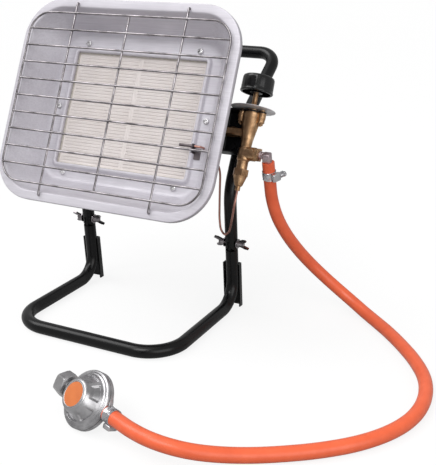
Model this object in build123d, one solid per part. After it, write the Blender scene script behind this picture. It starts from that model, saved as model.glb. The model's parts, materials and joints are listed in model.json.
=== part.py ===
"""Portable propane heater: a ceramic radiant head that tilts on a tubular stand.

Millimetres, +Z up. The origin lies on the floor under the middle of the stand's
front bar; the heater looks towards -Y. Every node is one STEP file in parts/.
"""
import os
from math import cos, pi, radians, sin, tan

from build123d import *

# ---------------------------------------------------------------- stand
tube_d = 18.0            # outside diameter of both frame tubes
tube_wall = 1.5
leg_span = 244.6         # between the centre lines of the two sides
pivot_y = 190.9          # the tilt axis runs along X through here
pivot_z = 102.3
upright_lean = 4.5       # degrees, the uprights lean forward going up
front_corner_r = 50.0
rear_bend_r = 34.0
pivot_gap = 0.6          # between the lower tube's top and the upper tube's end
upper_end_drop = 10.0    # upper tube's rounded end below the tilt axis

tongue_t = 4.0           # steel tongue in each lower tube, held in the upper one
tongue_w = 14.0
tongue_sunk = 16.0       # how far the tongue reaches into the lower tube
tongue_room = 3.0        # radial, round the tongue's rounded end in the slot
slot_play = 0.3          # each side of the tongue in the upper tube's slot
pin_play = 0.06          # radial, for everything that turns on a pin
pivot_d = 6.0

channel_sheet = 2.0      # U-shaped hook channel behind each upright
channel_w = 27.0
channel_front = 1.0      # front edges of its flanges behind the tube's centre line
channel_back = 18.0      # outer face of its web behind the tube's centre line
channel_bottom = 3.0
channel_top = 74.0

# ---------------------------------------------------------------- upper frame
head_tilt = 25.3         # degrees the radiant head leans back from vertical
bend_low_z = 180.0       # lower corner of each leg, where it turns parallel to the head
bend_low_r = 70.0
bend_high_y = 233.8      # upper corner, where it turns back to the handle
bend_high_z = 274.0
bend_high_r = 80.0
handle_y = 341.3
handle_z = 349.3
handle_corner_r = 27.0

# ---------------------------------------------------------------- radiant head
head_height = 245.23     # where the legs pass behind the middle of the wire guard
spacer_len = 13.09       # bracket spacers there
guard_w = 307.4
wire_d = 2.8
guard_pitch = 23.5       # between its cross wires
guard_rows = 10          # spaces between the loop's top and bottom side
guard_corner_r = 30.0
guard_upright_x = 85.4
guard_hook_v = 132.5     # where the outer uprights hook into the flange

pan_w = 330.0
pan_h = 280.0
pan_corner_r = 58.0
pan_sheet = 1.0
flange_band = 13.0
flange_depth = 5.3       # flange front face behind the guard's middle plane
skirt_drop = 7.0
floor_depth = 50.0
hole_play = 0.2          # radial, round the screws in sheet metal
floor_side = 22.2        # pan's floor beside the tiles, out to the well's walls
floor_end = 25.2         # and above and below them
floor_corner_r = 30.0
opening_play = 1.0       # between the tiles and the opening in the pan's floor
bead_w = 5.0             # raised bead round that opening
bead_h = 3.0
bead_corner_r = 8.0

tile_w = 100.6
tile_h = 155.6
tile_t = 13.0
tile_gap = 0.4
tile_set_back = 3.0      # tile face behind the pan's floor
gasket_t = 3.6
gasket_lip = 3.0
housing_sheet = 1.2
housing_deep = 42.0      # outer back of the burner housing behind the pan's floor
housing_corner_r = 24.0
housing_rim = 5.0        # housing's flange past the axes of its outermost screws
screw_head_d = 8.0
screw_head_h = 2.4
screw_d = 4.0
pan_screw_x = 87.8       # four screws above and below the tiles
pan_screw_out = 13.9     # past the tiles' ends
side_screw_out = 15.2    # the two beside the tiles, past their outer edges

# ---------------------------------------------------------------- gas train
mixer_v = 3.6            # axis of mixer tube and injector
mixer_d = 22.0
mixer_wall = 1.4
mixer_flare = 1.2        # lip round its open mouth
mixer_far_x = -72.0
mixer_gap = 11.5         # between the housing and the mixer tube
valve_out = 26.1         # valve's axis outside the frame's leg
valve_top_r = 11.7       # funnel-shaped body
valve_low_r = 7.4
valve_low_v = -46.0      # lower end of the body, where the thermocouple nut screws on
side_port_v = -24.0
side_port_r = 9.3
side_port_reach = 16.0
bonnet_v = 24.0          # joint between body and bonnet
lug_x = 14.5             # bonnet screws each side of the stem
lug_r = 5.5
stem_d = 7.0
knob_d = 45.0
knob_h = 23.0
knob_v = 59.0            # underside of the knob
dial_d = 61.5
dial_v = 36.0

bracket_sheet = 2.0
bracket_fold_r = 3.0
bracket_room = 0.3       # between the mixer tube's mouth and the web behind it
bracket_top_v = 34.0     # upper face of the lip that carries the valve
bracket_low_v = -26.0
bracket_foot = 16.0      # inner end of the foot inside its screws
bracket_riser_in = 13.8  # riser's inner face inside the frame's leg
bracket_out = 10.2       # outer edge of the web outside the frame's leg
valve_web_out = 1.6      # the same on the valve side, past the valve's axis
bracket_lip = 10.5       # lips reach this far in front of the gas axis
bracket_bolt_d = 6.0
bracket_nut_af = 10.0
bracket_nut_h = 5.0
bracket_bolts_v = (-15.0, 25.0)
bolt_play = 0.2          # radial, in the holes of frame, brackets and spacers
bolt_head_r = 5.2
bolt_head_h = 3.2
bolt_tails = (6.0, 8.0)  # ends past the frame tube, lower and upper
spacer_r = 6.5
saddle_t = 3.0           # behind the frame tube, under each nut
foot_screw_x = 92.0

mixer_r = mixer_d / 2
tube_r = tube_d / 2
half = leg_span / 2
valve_x = half + valve_out
bracket_foot_x = foot_screw_x - bracket_foot
bracket_riser_x = half - bracket_riser_in
bracket_out_x = half + bracket_out
valve_web_x = valve_x + valve_web_out
pan_screw_v = tile_h / 2 + pan_screw_out
side_screw_x = tile_w + tile_gap / 2 + side_screw_out
floor_w = 2 * (tile_w + floor_side) + tile_gap
floor_h = tile_h + 2 * floor_end
tile_depth = floor_depth + tile_set_back
housing_back_depth = floor_depth + housing_deep
valve_depth = housing_back_depth + mixer_gap + mixer_r
bracket_web_depth = valve_depth + mixer_r + mixer_flare + bracket_room
web_back = bracket_web_depth + bracket_sheet

# ---------------------------------------------------------------- hose
hose_d = 17.0
hose_bore = 9.0
barb_play = 0.1
elbow_out = 33.9         # the hose's end outside the valve's axis
elbow_swivel = 14.0      # degrees that the elbow's barb points back from straight down
elbow_drop = 9.2         # from the side port's axis to the end of the hose
elbow_block = 14.0
barb_len = 26.0
upper_cuff_len = 34.0    # straight stretch of hose on each barb
lower_cuff_len = 24.0
hose_lift = 0.3          # clearance between the hose and the floor
clamp_t = 1.0
clamp_w = 12.0
clamp_drop = 12.6        # upper clamp's upper edge below the hose end
upper_clamp_turn = 20.0
lower_clamp_turn = 200.0

# ---------------------------------------------------------------- regulator
reg_x = 114.5            # middle of the disc's front rim
reg_y = -160.7
reg_r = 34.0
reg_rim = 9.0
reg_elevation = 39.0     # degrees that its face looks up
reg_azimuth = 22.0       # degrees that its face is turned from -Y towards -X
reg_port_h = -7.0        # gas axis behind the front rim
reg_cap_h = 19.0
reg_split = 5.2          # joint of cap and body behind the front rim
diaphragm_t = 1.2
port_r = 8.5
port_stub = 1.0          # ports stand out of the rim by this much
badge_r = 14.5
badge_t = 0.9
badge_sunk = 0.6
nut_af = 27.0
nut_start = 39.0
nut_len = 16.0
nut_thread_r = 10.5
nut_collar = 4.0

elbow_x = valve_x + elbow_out
lean = radians(upright_lean)
os.makedirs("parts", exist_ok=True)


def save(part, name):
    """Write one node; a group of separate solids stays one file."""
    export_step(part, f"parts/{name}.step")


def bar(section, start, end):
    """Prism of a sketch drawn round the axis from start to end."""
    path = Vector(*end) - Vector(*start)
    return extrude(Plane(tuple(start), z_dir=path) * section, path.length)


def pipe(points, radii, outer, inner=0.0):
    """Round tube along straight runs joined by tangent arcs."""
    path = FilletPolyline(*points, radius=radii)
    section = Circle(outer)
    if inner:
        section -= Circle(inner)
    return sweep(Plane(path @ 0, z_dir=path % 0) * section, path)


def arc_radii(points, share=0.45):
    """Largest tidy arc at each corner of a cord's route."""
    radii = []
    for before, corner, after in zip(points, points[1:], points[2:]):
        run_in = Vector(*corner) - Vector(*before)
        run_out = Vector(*after) - Vector(*corner)
        turn = radians(run_in.get_angle(run_out))
        radii.append(share * min(run_in.length, run_out.length) / tan(turn / 2))
    return radii


def hexagon(across_flats, bore=0.0):
    shape = RegularPolygon(across_flats / 2, 6, major_radius=False)
    return shape - Circle(bore) if bore else shape


def turned(profile, frame):
    """Solid of revolution: (radius, height) points round the frame's Z axis."""
    face = make_face(Plane.XZ * Polyline(*profile, close=True))
    return frame * revolve(face, Axis.Z)


def both_sides(part):
    return part, mirror(part, Plane.YZ)


# ================================================================ stand
def upright_y(z):
    """Centre line of the straight uprights."""
    return pivot_y + (pivot_z - z) * tan(lean)


upright_dir = Vector(0, -sin(lean), cos(lean))
pivot = Vector(half, pivot_y, pivot_z)
lower_top = pivot - upright_dir * (upper_end_drop + pivot_gap)
rear = (half, upright_y(tube_r), tube_r)


def mirror_x(point):
    return (-point[0], point[1], point[2])


lower_right = [(half, lower_top.Y, lower_top.Z), rear, (half, 0, tube_r)]
base_path = lower_right + [mirror_x(point) for point in reversed(lower_right)]
base_tube = pipe(base_path, [rear_bend_r, front_corner_r, front_corner_r, rear_bend_r],
                 tube_r, tube_r - tube_wall)
save(base_tube, "base_tube")

upright_plane = Plane(pivot, x_dir=(1, 0, 0), z_dir=upright_dir)
tongue_bottom = -(upper_end_drop + pivot_gap + tongue_sunk)
tongue = extrude(Pos(0, 0, tongue_bottom) * Rectangle(tongue_t, tongue_w), -tongue_bottom)
tongue += Rot(0, 90, 0) * Cylinder(tongue_w / 2, tongue_t)
tongue -= Rot(0, 90, 0) * Cylinder(pivot_d / 2 + pin_play, 2 * tongue_t)
plug_r = tube_r - tube_wall
plug = Pos(0, 0, tongue_bottom) * extrude(Circle(plug_r), tongue_sunk - pivot_gap)
tongue = upright_plane * (tongue + plug)
for side, part in zip(("right", "left"), both_sides(tongue)):
    save(part, f"{side}_pivot_tongue")

# ---- hook channels: a U of sheet open to the front, its top folded onto the tube
channel_mid = Plane((half, upright_y(channel_bottom), channel_bottom), x_dir=(1, 0, 0),
                    z_dir=upright_dir)
channel_h = (channel_top - channel_bottom) / cos(lean)
channel_box = channel_back - channel_front
u_outer = Pos(0, channel_front + channel_box / 2) * Rectangle(channel_w, channel_box)
u_inner = Pos(0, channel_front + channel_box / 2 - channel_sheet) * Rectangle(
    channel_w - 2 * channel_sheet, channel_box)
channel = extrude(u_outer - u_inner, channel_h)
channel = fillet(channel.edges().filter_by(Axis.Z).sort_by(Axis.Y)[-2:], 2.0)
channel += Pos(0, 0, channel_h - channel_sheet) * extrude(u_outer - Circle(tube_r), channel_sheet)
channel = channel_mid * channel
for side, part in zip(("right", "left"), both_sides(channel)):
    save(part, f"{side}_hook_channel")

# ================================================================ upper frame
upper_end = pivot - upright_dir * upper_end_drop
low_corner = (half, upright_y(bend_low_z), bend_low_z)
high_corner = (half, bend_high_y, bend_high_z)
head_share = (head_height - bend_low_z) / (bend_high_z - bend_low_z)
head_seat = Vector(0, low_corner[1] + head_share * (bend_high_y - low_corner[1]), head_height)
head_dir = Vector(0, -cos(radians(head_tilt)), sin(radians(head_tilt)))
head = Plane(head_seat + head_dir * (web_back + spacer_len + tube_r), x_dir=(1, 0, 0),
             z_dir=head_dir)


def at(x, v, depth):
    """Head frame: x across, v up the guard, depth behind it."""
    return tuple(head.from_local_coords((x, v, -depth)))


leg_low = head.to_local_coords(Vector(*low_corner))
leg_high = head.to_local_coords(Vector(*high_corner))


def leg_depth(v):
    """Depth of the straight stretch of the frame's legs."""
    share = (v - leg_low.Y) / (leg_high.Y - leg_low.Y)
    return -leg_low.Z - (leg_high.Z - leg_low.Z) * share


handle_corner = (half, handle_y, handle_z)
leg = [(half, upper_end.Y, upper_end.Z), low_corner, high_corner, handle_corner]
frame_path = leg + [mirror_x(point) for point in reversed(leg)]
frame_radii = [bend_low_r, bend_high_r, handle_corner_r]
frame_radii += list(reversed(frame_radii))
handle_frame = pipe(frame_path, frame_radii, tube_r, tube_r - tube_wall)
frame_core = pipe(frame_path, frame_radii, tube_r)


def leg_end_cutter():
    """What the lower end of the right leg loses: slot, rounded end and bolt hole."""
    slot_w = tongue_t + 2 * slot_play
    reach = upper_end_drop + 1
    slot = Pos(0, 0, -reach / 2) * Box(slot_w, 2 * tube_d, reach)
    slot += Rot(0, 90, 0) * Cylinder(tongue_w / 2 + tongue_room, slot_w)
    corner = Pos(0, 0, -reach / 2) * Box(2 * tube_d, 2 * tube_d, reach)
    corner -= Rot(0, 90, 0) * Cylinder(upper_end_drop, 3 * tube_d)
    hole = Rot(0, 90, 0) * Cylinder(pivot_d / 2 + pin_play, 3 * tube_d)
    return upright_plane * (slot + corner + hole)


for cutter in both_sides(leg_end_cutter()):
    handle_frame -= cutter
for x in (-half, half):
    for v in bracket_bolts_v:
        handle_frame -= bar(Circle(bracket_bolt_d / 2 + bolt_play), at(x, v, leg_depth(v) - tube_d),
                            at(x, v, leg_depth(v) + tube_d))
save(handle_frame, "handle_frame")

# ---- wing screws and wing nuts at the tilt axis
wing_span = 21.0
wing_h = 16.0
wing_t = 2.6
hub_r = 5.0
hub_len = 8.0
washer_t = 1.2
hub_face = tube_r + 0.3   # where the washer starts, clear of the round tube


def wing_piece():
    tip = wing_span / 2
    profile = Polyline((hub_r - 2, washer_t + 1), (hub_r - 2, washer_t + hub_len - 0.5),
                       (tip - 2.5, wing_h), (tip, wing_h - 1.5), (tip - 0.5, wing_h - 6.5),
                       (hub_r + 0.5, washer_t + 1.5), close=True)
    blade = extrude(Plane.XZ * make_face(profile), wing_t / 2, both=True)
    hub = Pos(0, 0, washer_t + hub_len / 2) * Cone(hub_r, hub_r - 1.0, hub_len)
    hub += Pos(0, 0, washer_t / 2) * Cylinder(hub_r + 2, washer_t)
    return hub + blade + mirror(blade, Plane.YZ)


shank_len = 2 * hub_face + washer_t + hub_len + 2
wing_outside = wing_piece()
wing_screw = wing_outside + Pos(0, 0, -shank_len + 1) * extrude(Circle(pivot_d / 2), shank_len)
wing_nut = wing_piece() - Cylinder(pivot_d / 2 + pin_play, 60)
screw_turn = 35.0
outward = Plane(pivot + Vector(hub_face, 0, 0), x_dir=(0, 0, 1), z_dir=(1, 0, 0))
inward = Plane(pivot - Vector(hub_face, 0, 0), x_dir=(0, 0, 1), z_dir=(-1, 0, 0))
right_wing_nut = outward * Rot(0, 0, screw_turn) * wing_nut
right_wing_screw = inward * Rot(0, 0, -screw_turn) * wing_screw
save(right_wing_nut, "right_wing_nut")
save(right_wing_screw, "right_wing_screw")
save(mirror(right_wing_nut, Plane.YZ), "left_wing_nut")
save(mirror(right_wing_screw, Plane.YZ), "left_wing_screw")

# ================================================================ reflector pan
flange_inner_w = pan_w - 2 * flange_band
flange_inner_h = pan_h - 2 * flange_band
flange_inner_r = pan_corner_r - flange_band


def rounded(width, height, radius, depth):
    """Rounded rectangle across the head at a depth behind the guard."""
    return Pos(0, 0, -depth) * RectangleRounded(width, height, radius)


def slab(width, height, radius, depth, thickness):
    return extrude(rounded(width, height, radius, depth), -thickness)


def bowl(grow, top_depth, bottom_depth):
    """Tapered well between the flange's inner edge and the floor."""
    slope = (flange_inner_w - floor_w) / 2 / (floor_depth - flange_depth)
    over = (flange_depth - top_depth) * slope
    under = (bottom_depth - floor_depth) * slope
    top = rounded(flange_inner_w + 2 * (grow + over), flange_inner_h + 2 * (grow + over),
                  flange_inner_r + grow + over, top_depth)
    low = rounded(floor_w + 2 * (grow - under), floor_h + 2 * (grow - under),
                  floor_corner_r + grow - under, bottom_depth)
    return loft([top, low])


opening_w = 2 * (tile_w + opening_play) + tile_gap
opening_h = tile_h + 2 * opening_play
gasket_r = 3.0
pan = slab(pan_w, pan_h, pan_corner_r, flange_depth, skirt_drop)
pan -= slab(pan_w - 2 * pan_sheet, pan_h - 2 * pan_sheet, pan_corner_r - pan_sheet,
            flange_depth + pan_sheet, skirt_drop)
pan += bowl(pan_sheet, flange_depth + pan_sheet / 2, floor_depth + pan_sheet)
pan -= bowl(0, flange_depth - 1, floor_depth)
bead_d = bead_h + pan_sheet
bead = slab(opening_w + 2 * bead_w, opening_h + 2 * bead_w, bead_corner_r, floor_depth - bead_h, bead_d)
bead = fillet(bead.faces().sort_by(Axis.Z)[-1].edges(), 1.6)
hollow = slab(opening_w + 2 * (bead_w - pan_sheet), opening_h + 2 * (bead_w - pan_sheet),
              bead_corner_r - pan_sheet, floor_depth - bead_h + pan_sheet, bead_d)
hollow -= slab(opening_w + 2 * pan_sheet, opening_h + 2 * pan_sheet, gasket_r + pan_sheet,
               floor_depth - bead_h, 2 * bead_d)
pan += bead
pan -= hollow
pan -= slab(opening_w, opening_h, gasket_r, floor_depth - 2 * bead_h, 4 * bead_h)
screw_places = [(x, v) for x in (-pan_screw_x, pan_screw_x) for v in (-pan_screw_v, pan_screw_v)]
screw_places += [(-side_screw_x, 0), (side_screw_x, 0)]
for x, v in screw_places:
    pan -= Pos(x, v, -floor_depth) * Cylinder(screw_d / 2 + hole_play, 6 * pan_sheet)
lead_hole_x = 120.4
lead_hole_v = -35.0
lead_hole_r = 2.2
pan -= Pos(lead_hole_x, lead_hole_v, -floor_depth) * Cylinder(lead_hole_r, 6 * pan_sheet)
for x in (-guard_upright_x, guard_upright_x):
    for v in (-guard_hook_v, guard_hook_v):
        pan -= Pos(x, v, -flange_depth) * Cylinder(wire_d / 2 + 0.3, 6 * pan_sheet)
save(head * pan, "reflector_pan")

# ---- wire guard
guard_h = guard_pitch * guard_rows
wire_r = wire_d / 2
loop_path = RectangleRounded(guard_w, guard_h, guard_corner_r).wire()
wire_guard = sweep(Plane(loop_path @ 0, z_dir=loop_path % 0) * Circle(wire_r), loop_path)
weld = 0.8               # share of the wire's diameter between the two layers of wires
for row in range(1, guard_rows):
    v = guard_h / 2 - row * guard_pitch
    wire_guard += bar(Circle(wire_r), (-guard_w / 2, v, 0), (guard_w / 2, v, 0))
back = -weld * wire_d
wire_guard += bar(Circle(wire_r), (0, -guard_h / 2 - wire_r, back), (0, guard_h / 2 + wire_r, back))
hook_tail = flange_depth + 9.0
for x in (-guard_upright_x, guard_upright_x):
    hook = [(x, -guard_hook_v, -hook_tail), (x, -guard_hook_v, back), (x, guard_hook_v, back),
            (x, guard_hook_v, -hook_tail)]
    wire_guard += pipe(hook, [1.6, 1.6], wire_r)
save(head * wire_guard, "wire_guard")

# ================================================================ burner
well_w = 2 * tile_w + tile_gap + 2 * gasket_t
well_h = tile_h + 2 * gasket_t
box_w = well_w + 2 * housing_sheet
box_h = well_h + 2 * housing_sheet
housing_flange_w = 2 * (side_screw_x + housing_rim)
housing_flange_h = 2 * (pan_screw_v + housing_rim)
housing_top = floor_depth + pan_sheet
housing = slab(housing_flange_w, housing_flange_h, housing_corner_r, housing_top, housing_sheet)
housing += slab(box_w, box_h, gasket_r + housing_sheet, housing_top, housing_back_depth - housing_top)
housing -= slab(well_w, well_h, gasket_r, housing_top - 1,
                housing_back_depth - housing_top + 1 - housing_sheet)
for x, v in screw_places:
    housing -= Pos(x, v, -housing_top) * Cylinder(screw_d / 2 + hole_play, 5 * housing_sheet)
housing -= Pos(lead_hole_x, lead_hole_v, -housing_top) * Cylinder(lead_hole_r, 5 * housing_sheet)
throat_x = -50.0
throat_w = 30.0
throat_h = 18.0
throat_wall = 2.0
throat_hole = Box(throat_w - 2 * throat_wall, throat_h - 2 * throat_wall, 4 * housing_sheet)
housing -= Pos(throat_x, mixer_v, -housing_back_depth) * throat_hole
foot_places = [(side * foot_screw_x, v) for side in (-1, 1) for v in bracket_bolts_v]
for x, v in foot_places:
    housing -= Pos(x, v, -housing_back_depth) * Cylinder(screw_d / 2 + hole_play, 5 * housing_sheet)
save(head * housing, "burner_housing")

for side, name in ((-1, "left"), (1, "right")):
    tile = Pos(side * (tile_w + tile_gap) / 2, 0) * slab(tile_w, tile_h, 1.0, tile_depth, tile_t)
    save(head * tile, f"{name}_ceramic_tile")

tile_back = tile_depth + tile_t
gasket = slab(well_w, well_h, gasket_r, tile_depth - 1.5, tile_t + 1.5 + gasket_lip)
gasket -= slab(2 * tile_w + tile_gap, tile_h, 1.0, tile_depth - 2, tile_t + 2)
gasket -= slab(well_w - 4 * gasket_t, well_h - 4 * gasket_t, gasket_r, tile_back - 1, gasket_lip + 2)
save(head * gasket, "tile_gasket")

screws = Part()
for x, v in screw_places:
    dome = extrude(Pos(x, v, -floor_depth) * Circle(screw_head_d / 2), screw_head_h)
    dome = fillet(dome.edges().sort_by(Axis.Z)[-1], 1.2)
    shank = extrude(Pos(x, v, -floor_depth) * Circle(screw_d / 2), -6)
    screws += dome + shank
save(head * screws, "pan_screws")

# ---- mixer tube along the back of the housing, fed at its open right end
mixer_depth = valve_depth
mouth_x = bracket_riser_x - 0.3
mixer_mouth = (mouth_x, mixer_v, -mixer_depth)
mixer = bar(Circle(mixer_r), (mixer_far_x, mixer_v, -mixer_depth), mixer_mouth)
mixer += bar(Circle(mixer_r + mixer_flare), (mouth_x - 3, mixer_v, -mixer_depth), mixer_mouth)
throat_len = mixer_depth - housing_back_depth
throat = Pos(throat_x, mixer_v, -housing_back_depth - throat_len / 2)
mixer += throat * Box(throat_w, throat_h, throat_len)
saddle_x = 62.0
saddle_w = 12.0
mixer += Pos(saddle_x, mixer_v, -housing_back_depth - throat_len / 2) * Box(
    saddle_w, throat_h, throat_len)
mixer -= bar(Circle(mixer_r - mixer_wall), (mixer_far_x + mixer_wall, mixer_v, -mixer_depth),
             (mouth_x + 1, mixer_v, -mixer_depth))
mixer -= throat * Box(throat_w - 2 * throat_wall, throat_h - 2 * throat_wall, throat_len + 1)
save(head * mixer, "mixer_tube")

# ================================================================ head brackets
def across(section, low_v, high_v):
    """Prism in the head's frame of a section drawn as (x, -depth)."""
    plane = Plane((0, high_v, 0), x_dir=(1, 0, 0), z_dir=(0, -1, 0))
    return extrude(plane * section, high_v - low_v)


def lip_plan(outer_x):
    """Plan of a lip folded forward from the web."""
    width = outer_x - bracket_riser_x
    reach = web_back - valve_depth + bracket_lip
    return Pos(bracket_riser_x + width / 2, reach / 2 - web_back) * Rectangle(width, reach)


def head_bracket(web_x, top_lip):
    """Folded sheet: foot on the housing, riser, web on the frame tube, two lips."""
    half_t = bracket_sheet / 2
    foot_depth = housing_back_depth + half_t
    fold_line = FilletPolyline((bracket_foot_x, -foot_depth),
                               (bracket_riser_x + half_t, -foot_depth),
                               (bracket_riser_x + half_t, half_t - web_back),
                               (web_x, half_t - web_back), radius=bracket_fold_r)
    part = across(trace(fold_line, bracket_sheet), bracket_low_v, bracket_top_v)
    part += across(top_lip, bracket_top_v - bracket_sheet, bracket_top_v)
    part += across(lip_plan(bracket_out_x), bracket_low_v, bracket_low_v + bracket_sheet)
    for v in bracket_bolts_v:
        part -= Pos(half, v, -bracket_web_depth) * Cylinder(bracket_bolt_d / 2 + bolt_play,
                                                            5 * bracket_sheet)
        part -= Pos(foot_screw_x, v, -foot_depth) * Cylinder(screw_d / 2 + hole_play,
                                                             5 * bracket_sheet)
    return part


neck_r = 8.0             # bonnet's neck through the lip of the right bracket
neck_play = 0.3
lug_screw_r = 1.6
lug_hole_r = lug_screw_r + 0.1
valve_middle = Pos(valve_x, -valve_depth)
valve_lip = lip_plan(valve_x)
valve_lip += valve_middle * Circle(neck_r + 5)
valve_lip += valve_middle * Pos(lug_x / 2, 0) * Rectangle(lug_x, 2 * lug_r)
valve_lip += valve_middle * Pos(lug_x, 0) * Circle(lug_r)
valve_lip -= valve_middle * Circle(neck_r + neck_play)
for side in (-1, 1):
    valve_lip -= valve_middle * Pos(side * lug_x, 0) * Circle(lug_hole_r)
left_bracket = mirror(head_bracket(bracket_out_x, lip_plan(bracket_out_x)), Plane.YZ)
right_bracket = head_bracket(valve_web_x, valve_lip)
right_bracket -= bar(Circle(mixer_r), (bracket_riser_x - 5, mixer_v, -mixer_depth),
                     (bracket_riser_x + 8, mixer_v, -mixer_depth))
save(head * left_bracket, "left_head_bracket")
save(head * right_bracket, "right_head_bracket")

# ---- bolts through the frame tube, with spacers and saddles that seat on its round sides
spacers = Part()
bolts = Part()
bolt_r = bracket_bolt_d / 2
spacer_ring = Circle(spacer_r) - Circle(bolt_r + bolt_play)
for x in (-half, half):
    for v, tail in zip(bracket_bolts_v, bolt_tails):
        middle = leg_depth(v)
        nut_seat = middle + tube_r + saddle_t
        nut_back = nut_seat + bracket_nut_h
        spacers += bar(spacer_ring, at(x, v, web_back), at(x, v, middle)) - frame_core
        spacers += bar(spacer_ring, at(x, v, middle), at(x, v, nut_seat)) - frame_core
        bolts += bar(Circle(bolt_r), at(x, v, bracket_web_depth), at(x, v, nut_back + tail))
        bolts += bar(Circle(bolt_head_r), at(x, v, bracket_web_depth - bolt_head_h),
                     at(x, v, bracket_web_depth))
        bolts += bar(hexagon(bracket_nut_af, bolt_r), at(x, v, nut_seat), at(x, v, nut_back))
save(spacers, "bracket_spacers")
save(bolts, "bracket_bolts")

foot_screws = Part()
for x, v in foot_places:
    rear_face = Pos(x, v, -housing_back_depth - bracket_sheet)
    foot_screws += extrude(rear_face * Circle(screw_head_d / 2), -screw_head_h)
    foot_screws += extrude(rear_face * Circle(screw_d / 2), bracket_sheet + 3)
save(head * foot_screws, "foot_screws")

# ================================================================ gas valve
valve = Plane(at(valve_x, 0, valve_depth), x_dir=(1, 0, 0),
              z_dir=Vector(*at(0, 1, 0)) - Vector(*at(0, 0, 0)))
stem_r = stem_d / 2
lip_low = bracket_top_v - bracket_sheet
body_lug_t = 5.0
stem_room = 1.5


def rod(radius, start, end):
    """Cylinder along the valve's axis."""
    return extrude(Pos(0, 0, start) * Circle(radius), end - start)


def lugs(radius, start, end):
    """One cylinder at each bonnet screw."""
    return [Pos(side * lug_x, 0, 0) * rod(radius, start, end) for side in (-1, 1)]


port_band_r = valve_low_r + 1.4
body = turned([(0, valve_low_v), (valve_low_r, valve_low_v), (valve_low_r, side_port_v - 11),
               (port_band_r, side_port_v - 9), (port_band_r, side_port_v + 6),
               (valve_low_r, side_port_v + 8), (valve_low_r + 0.6, -6),
               (valve_top_r, bonnet_v - 8), (valve_top_r, bonnet_v), (0, bonnet_v)], Plane.XY)
body += Pos(0, 0, side_port_v) * Rot(0, 90, 0) * extrude(Circle(side_port_r), side_port_reach)
arm_reach = 20.0         # towards the mixer tube
arm_r = 6.6
body += Pos(0, 0, mixer_v) * Rot(0, -90, 0) * extrude(Circle(arm_r), arm_reach)
for lug in lugs(lug_r - 0.5, bonnet_v - body_lug_t, bonnet_v):
    body += lug
body -= rod(stem_r + stem_room, bonnet_v - 12, bonnet_v + 1)
for relief in lugs(lug_r - 0.5, bonnet_v - 16, bonnet_v - body_lug_t):
    body -= relief
for hole in lugs(lug_hole_r, bonnet_v - 10, bonnet_v + 1):
    body -= hole
port_bore = 4.6
body -= Pos(side_port_reach, 0, side_port_v) * Rot(0, 90, 0) * Cylinder(port_bore, 16)
save(valve * body, "valve_body")

bonnet_dome_r = 10.4
collar_r = 6.0
bonnet = rod(valve_top_r + 0.5, bonnet_v, lip_low - 2) + rod(bonnet_dome_r, bonnet_v, lip_low)
for lug in lugs(lug_r, bonnet_v, lip_low):
    bonnet += lug
bonnet += rod(neck_r, lip_low, dial_v)
seat_v = dial_v - 5
bonnet -= rod(collar_r + pin_play, seat_v, dial_v + 1)
bonnet -= rod(stem_r + pin_play, bonnet_v - 1, dial_v)
for hole in lugs(lug_hole_r, bonnet_v - 1, lip_low + 1):
    bonnet -= hole
save(valve * bonnet, "valve_bonnet")

lug_nut_h = 3.2
bonnet_screws = Part()
for side in (-1, 1):
    place = Pos(side * lug_x, 0, 0)
    bonnet_screws += place * rod(3.4, bracket_top_v, dial_v)
    bonnet_screws += place * rod(lug_screw_r, bonnet_v - body_lug_t - lug_nut_h - 1.5, bracket_top_v)
    nut_face = place * Pos(0, 0, bonnet_v - body_lug_t)
    bonnet_screws += nut_face * extrude(hexagon(6.6), -lug_nut_h)
save(valve * bonnet_screws, "bonnet_screws")

dial_t = 1.0
dial = rod(dial_d / 2, dial_v, dial_v + dial_t) - rod(collar_r + 0.3, dial_v - 1, dial_v + 2)
save(valve * dial, "dial_plate")

collar_top = dial_v + 4.0
collar = rod(collar_r, seat_v + 0.05, collar_top)
collar += rod(collar_r + 2.4, dial_v + dial_t + 0.3, collar_top)
collar -= rod(stem_r + pin_play, seat_v - 1, collar_top + 1)
save(valve * collar, "stem_collar")

# ---- stem with a flat, and the knob pressed on it
knob_r = knob_d / 2
socket = 13.0            # how far the stem reaches into the knob
stem_flat = 1.2
stem_low = bonnet_v - 4.0
flat_face = Pos(0, 6 + stem_r - stem_flat) * Rectangle(12, 12)
stem = rod(stem_r, stem_low, knob_v + socket)
stem -= extrude(Pos(0, 0, knob_v + 2) * flat_face, 20)
save(valve * stem, "valve_stem")

knob_wall = 3.0
knob_hub_r = 8.5
knob = turned([(0, 0), (knob_r - 1, 0), (knob_r, 1.2), (knob_r - 0.8, knob_h - 4),
               (knob_r - 2.2, knob_h - 1.2), (knob_r - 5, knob_h), (0, knob_h)], Pos(0, 0, knob_v))
knob -= (rod(knob_r - knob_wall, knob_v - 1, knob_v + knob_h - 2 * knob_wall)
         - rod(knob_hub_r, knob_v - 2, knob_v + knob_h))
knob -= rod(stem_r, knob_v - 1, knob_v + socket)
knob += extrude(Pos(0, 0, knob_v + 2) * (flat_face & Circle(stem_r)), socket - 2)
save(valve * knob, "control_knob")

# ---- nut that holds the thermocouple's end in the body
hex_low = valve_low_v - 9.0
nose_low = hex_low - 13.0
tail_low = nose_low - 7.0
thermo_nut = Pos(0, 0, hex_low) * extrude(hexagon(19.0), valve_low_v - hex_low)
thermo_nut += turned([(0, hex_low), (9.3, hex_low), (5.4, nose_low), (3.4, nose_low - 1.5),
                      (3.4, tail_low), (0, tail_low)], Plane.XY)
save(valve * thermo_nut, "thermo_nut")

injector_nut = 11.0
injector_nose = 12.0
injector = extrude(hexagon(2 * arm_r - 0.2), injector_nut)
injector += Pos(0, 0, injector_nut) * extrude(Circle(3.5), injector_nose)
injector -= Pos(0, 0, -1) * extrude(Circle(0.8), injector_nut + injector_nose + 2)
save(valve * Pos(-arm_reach, 0, mixer_v) * Rot(0, -90, 0) * injector, "injector")

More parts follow.
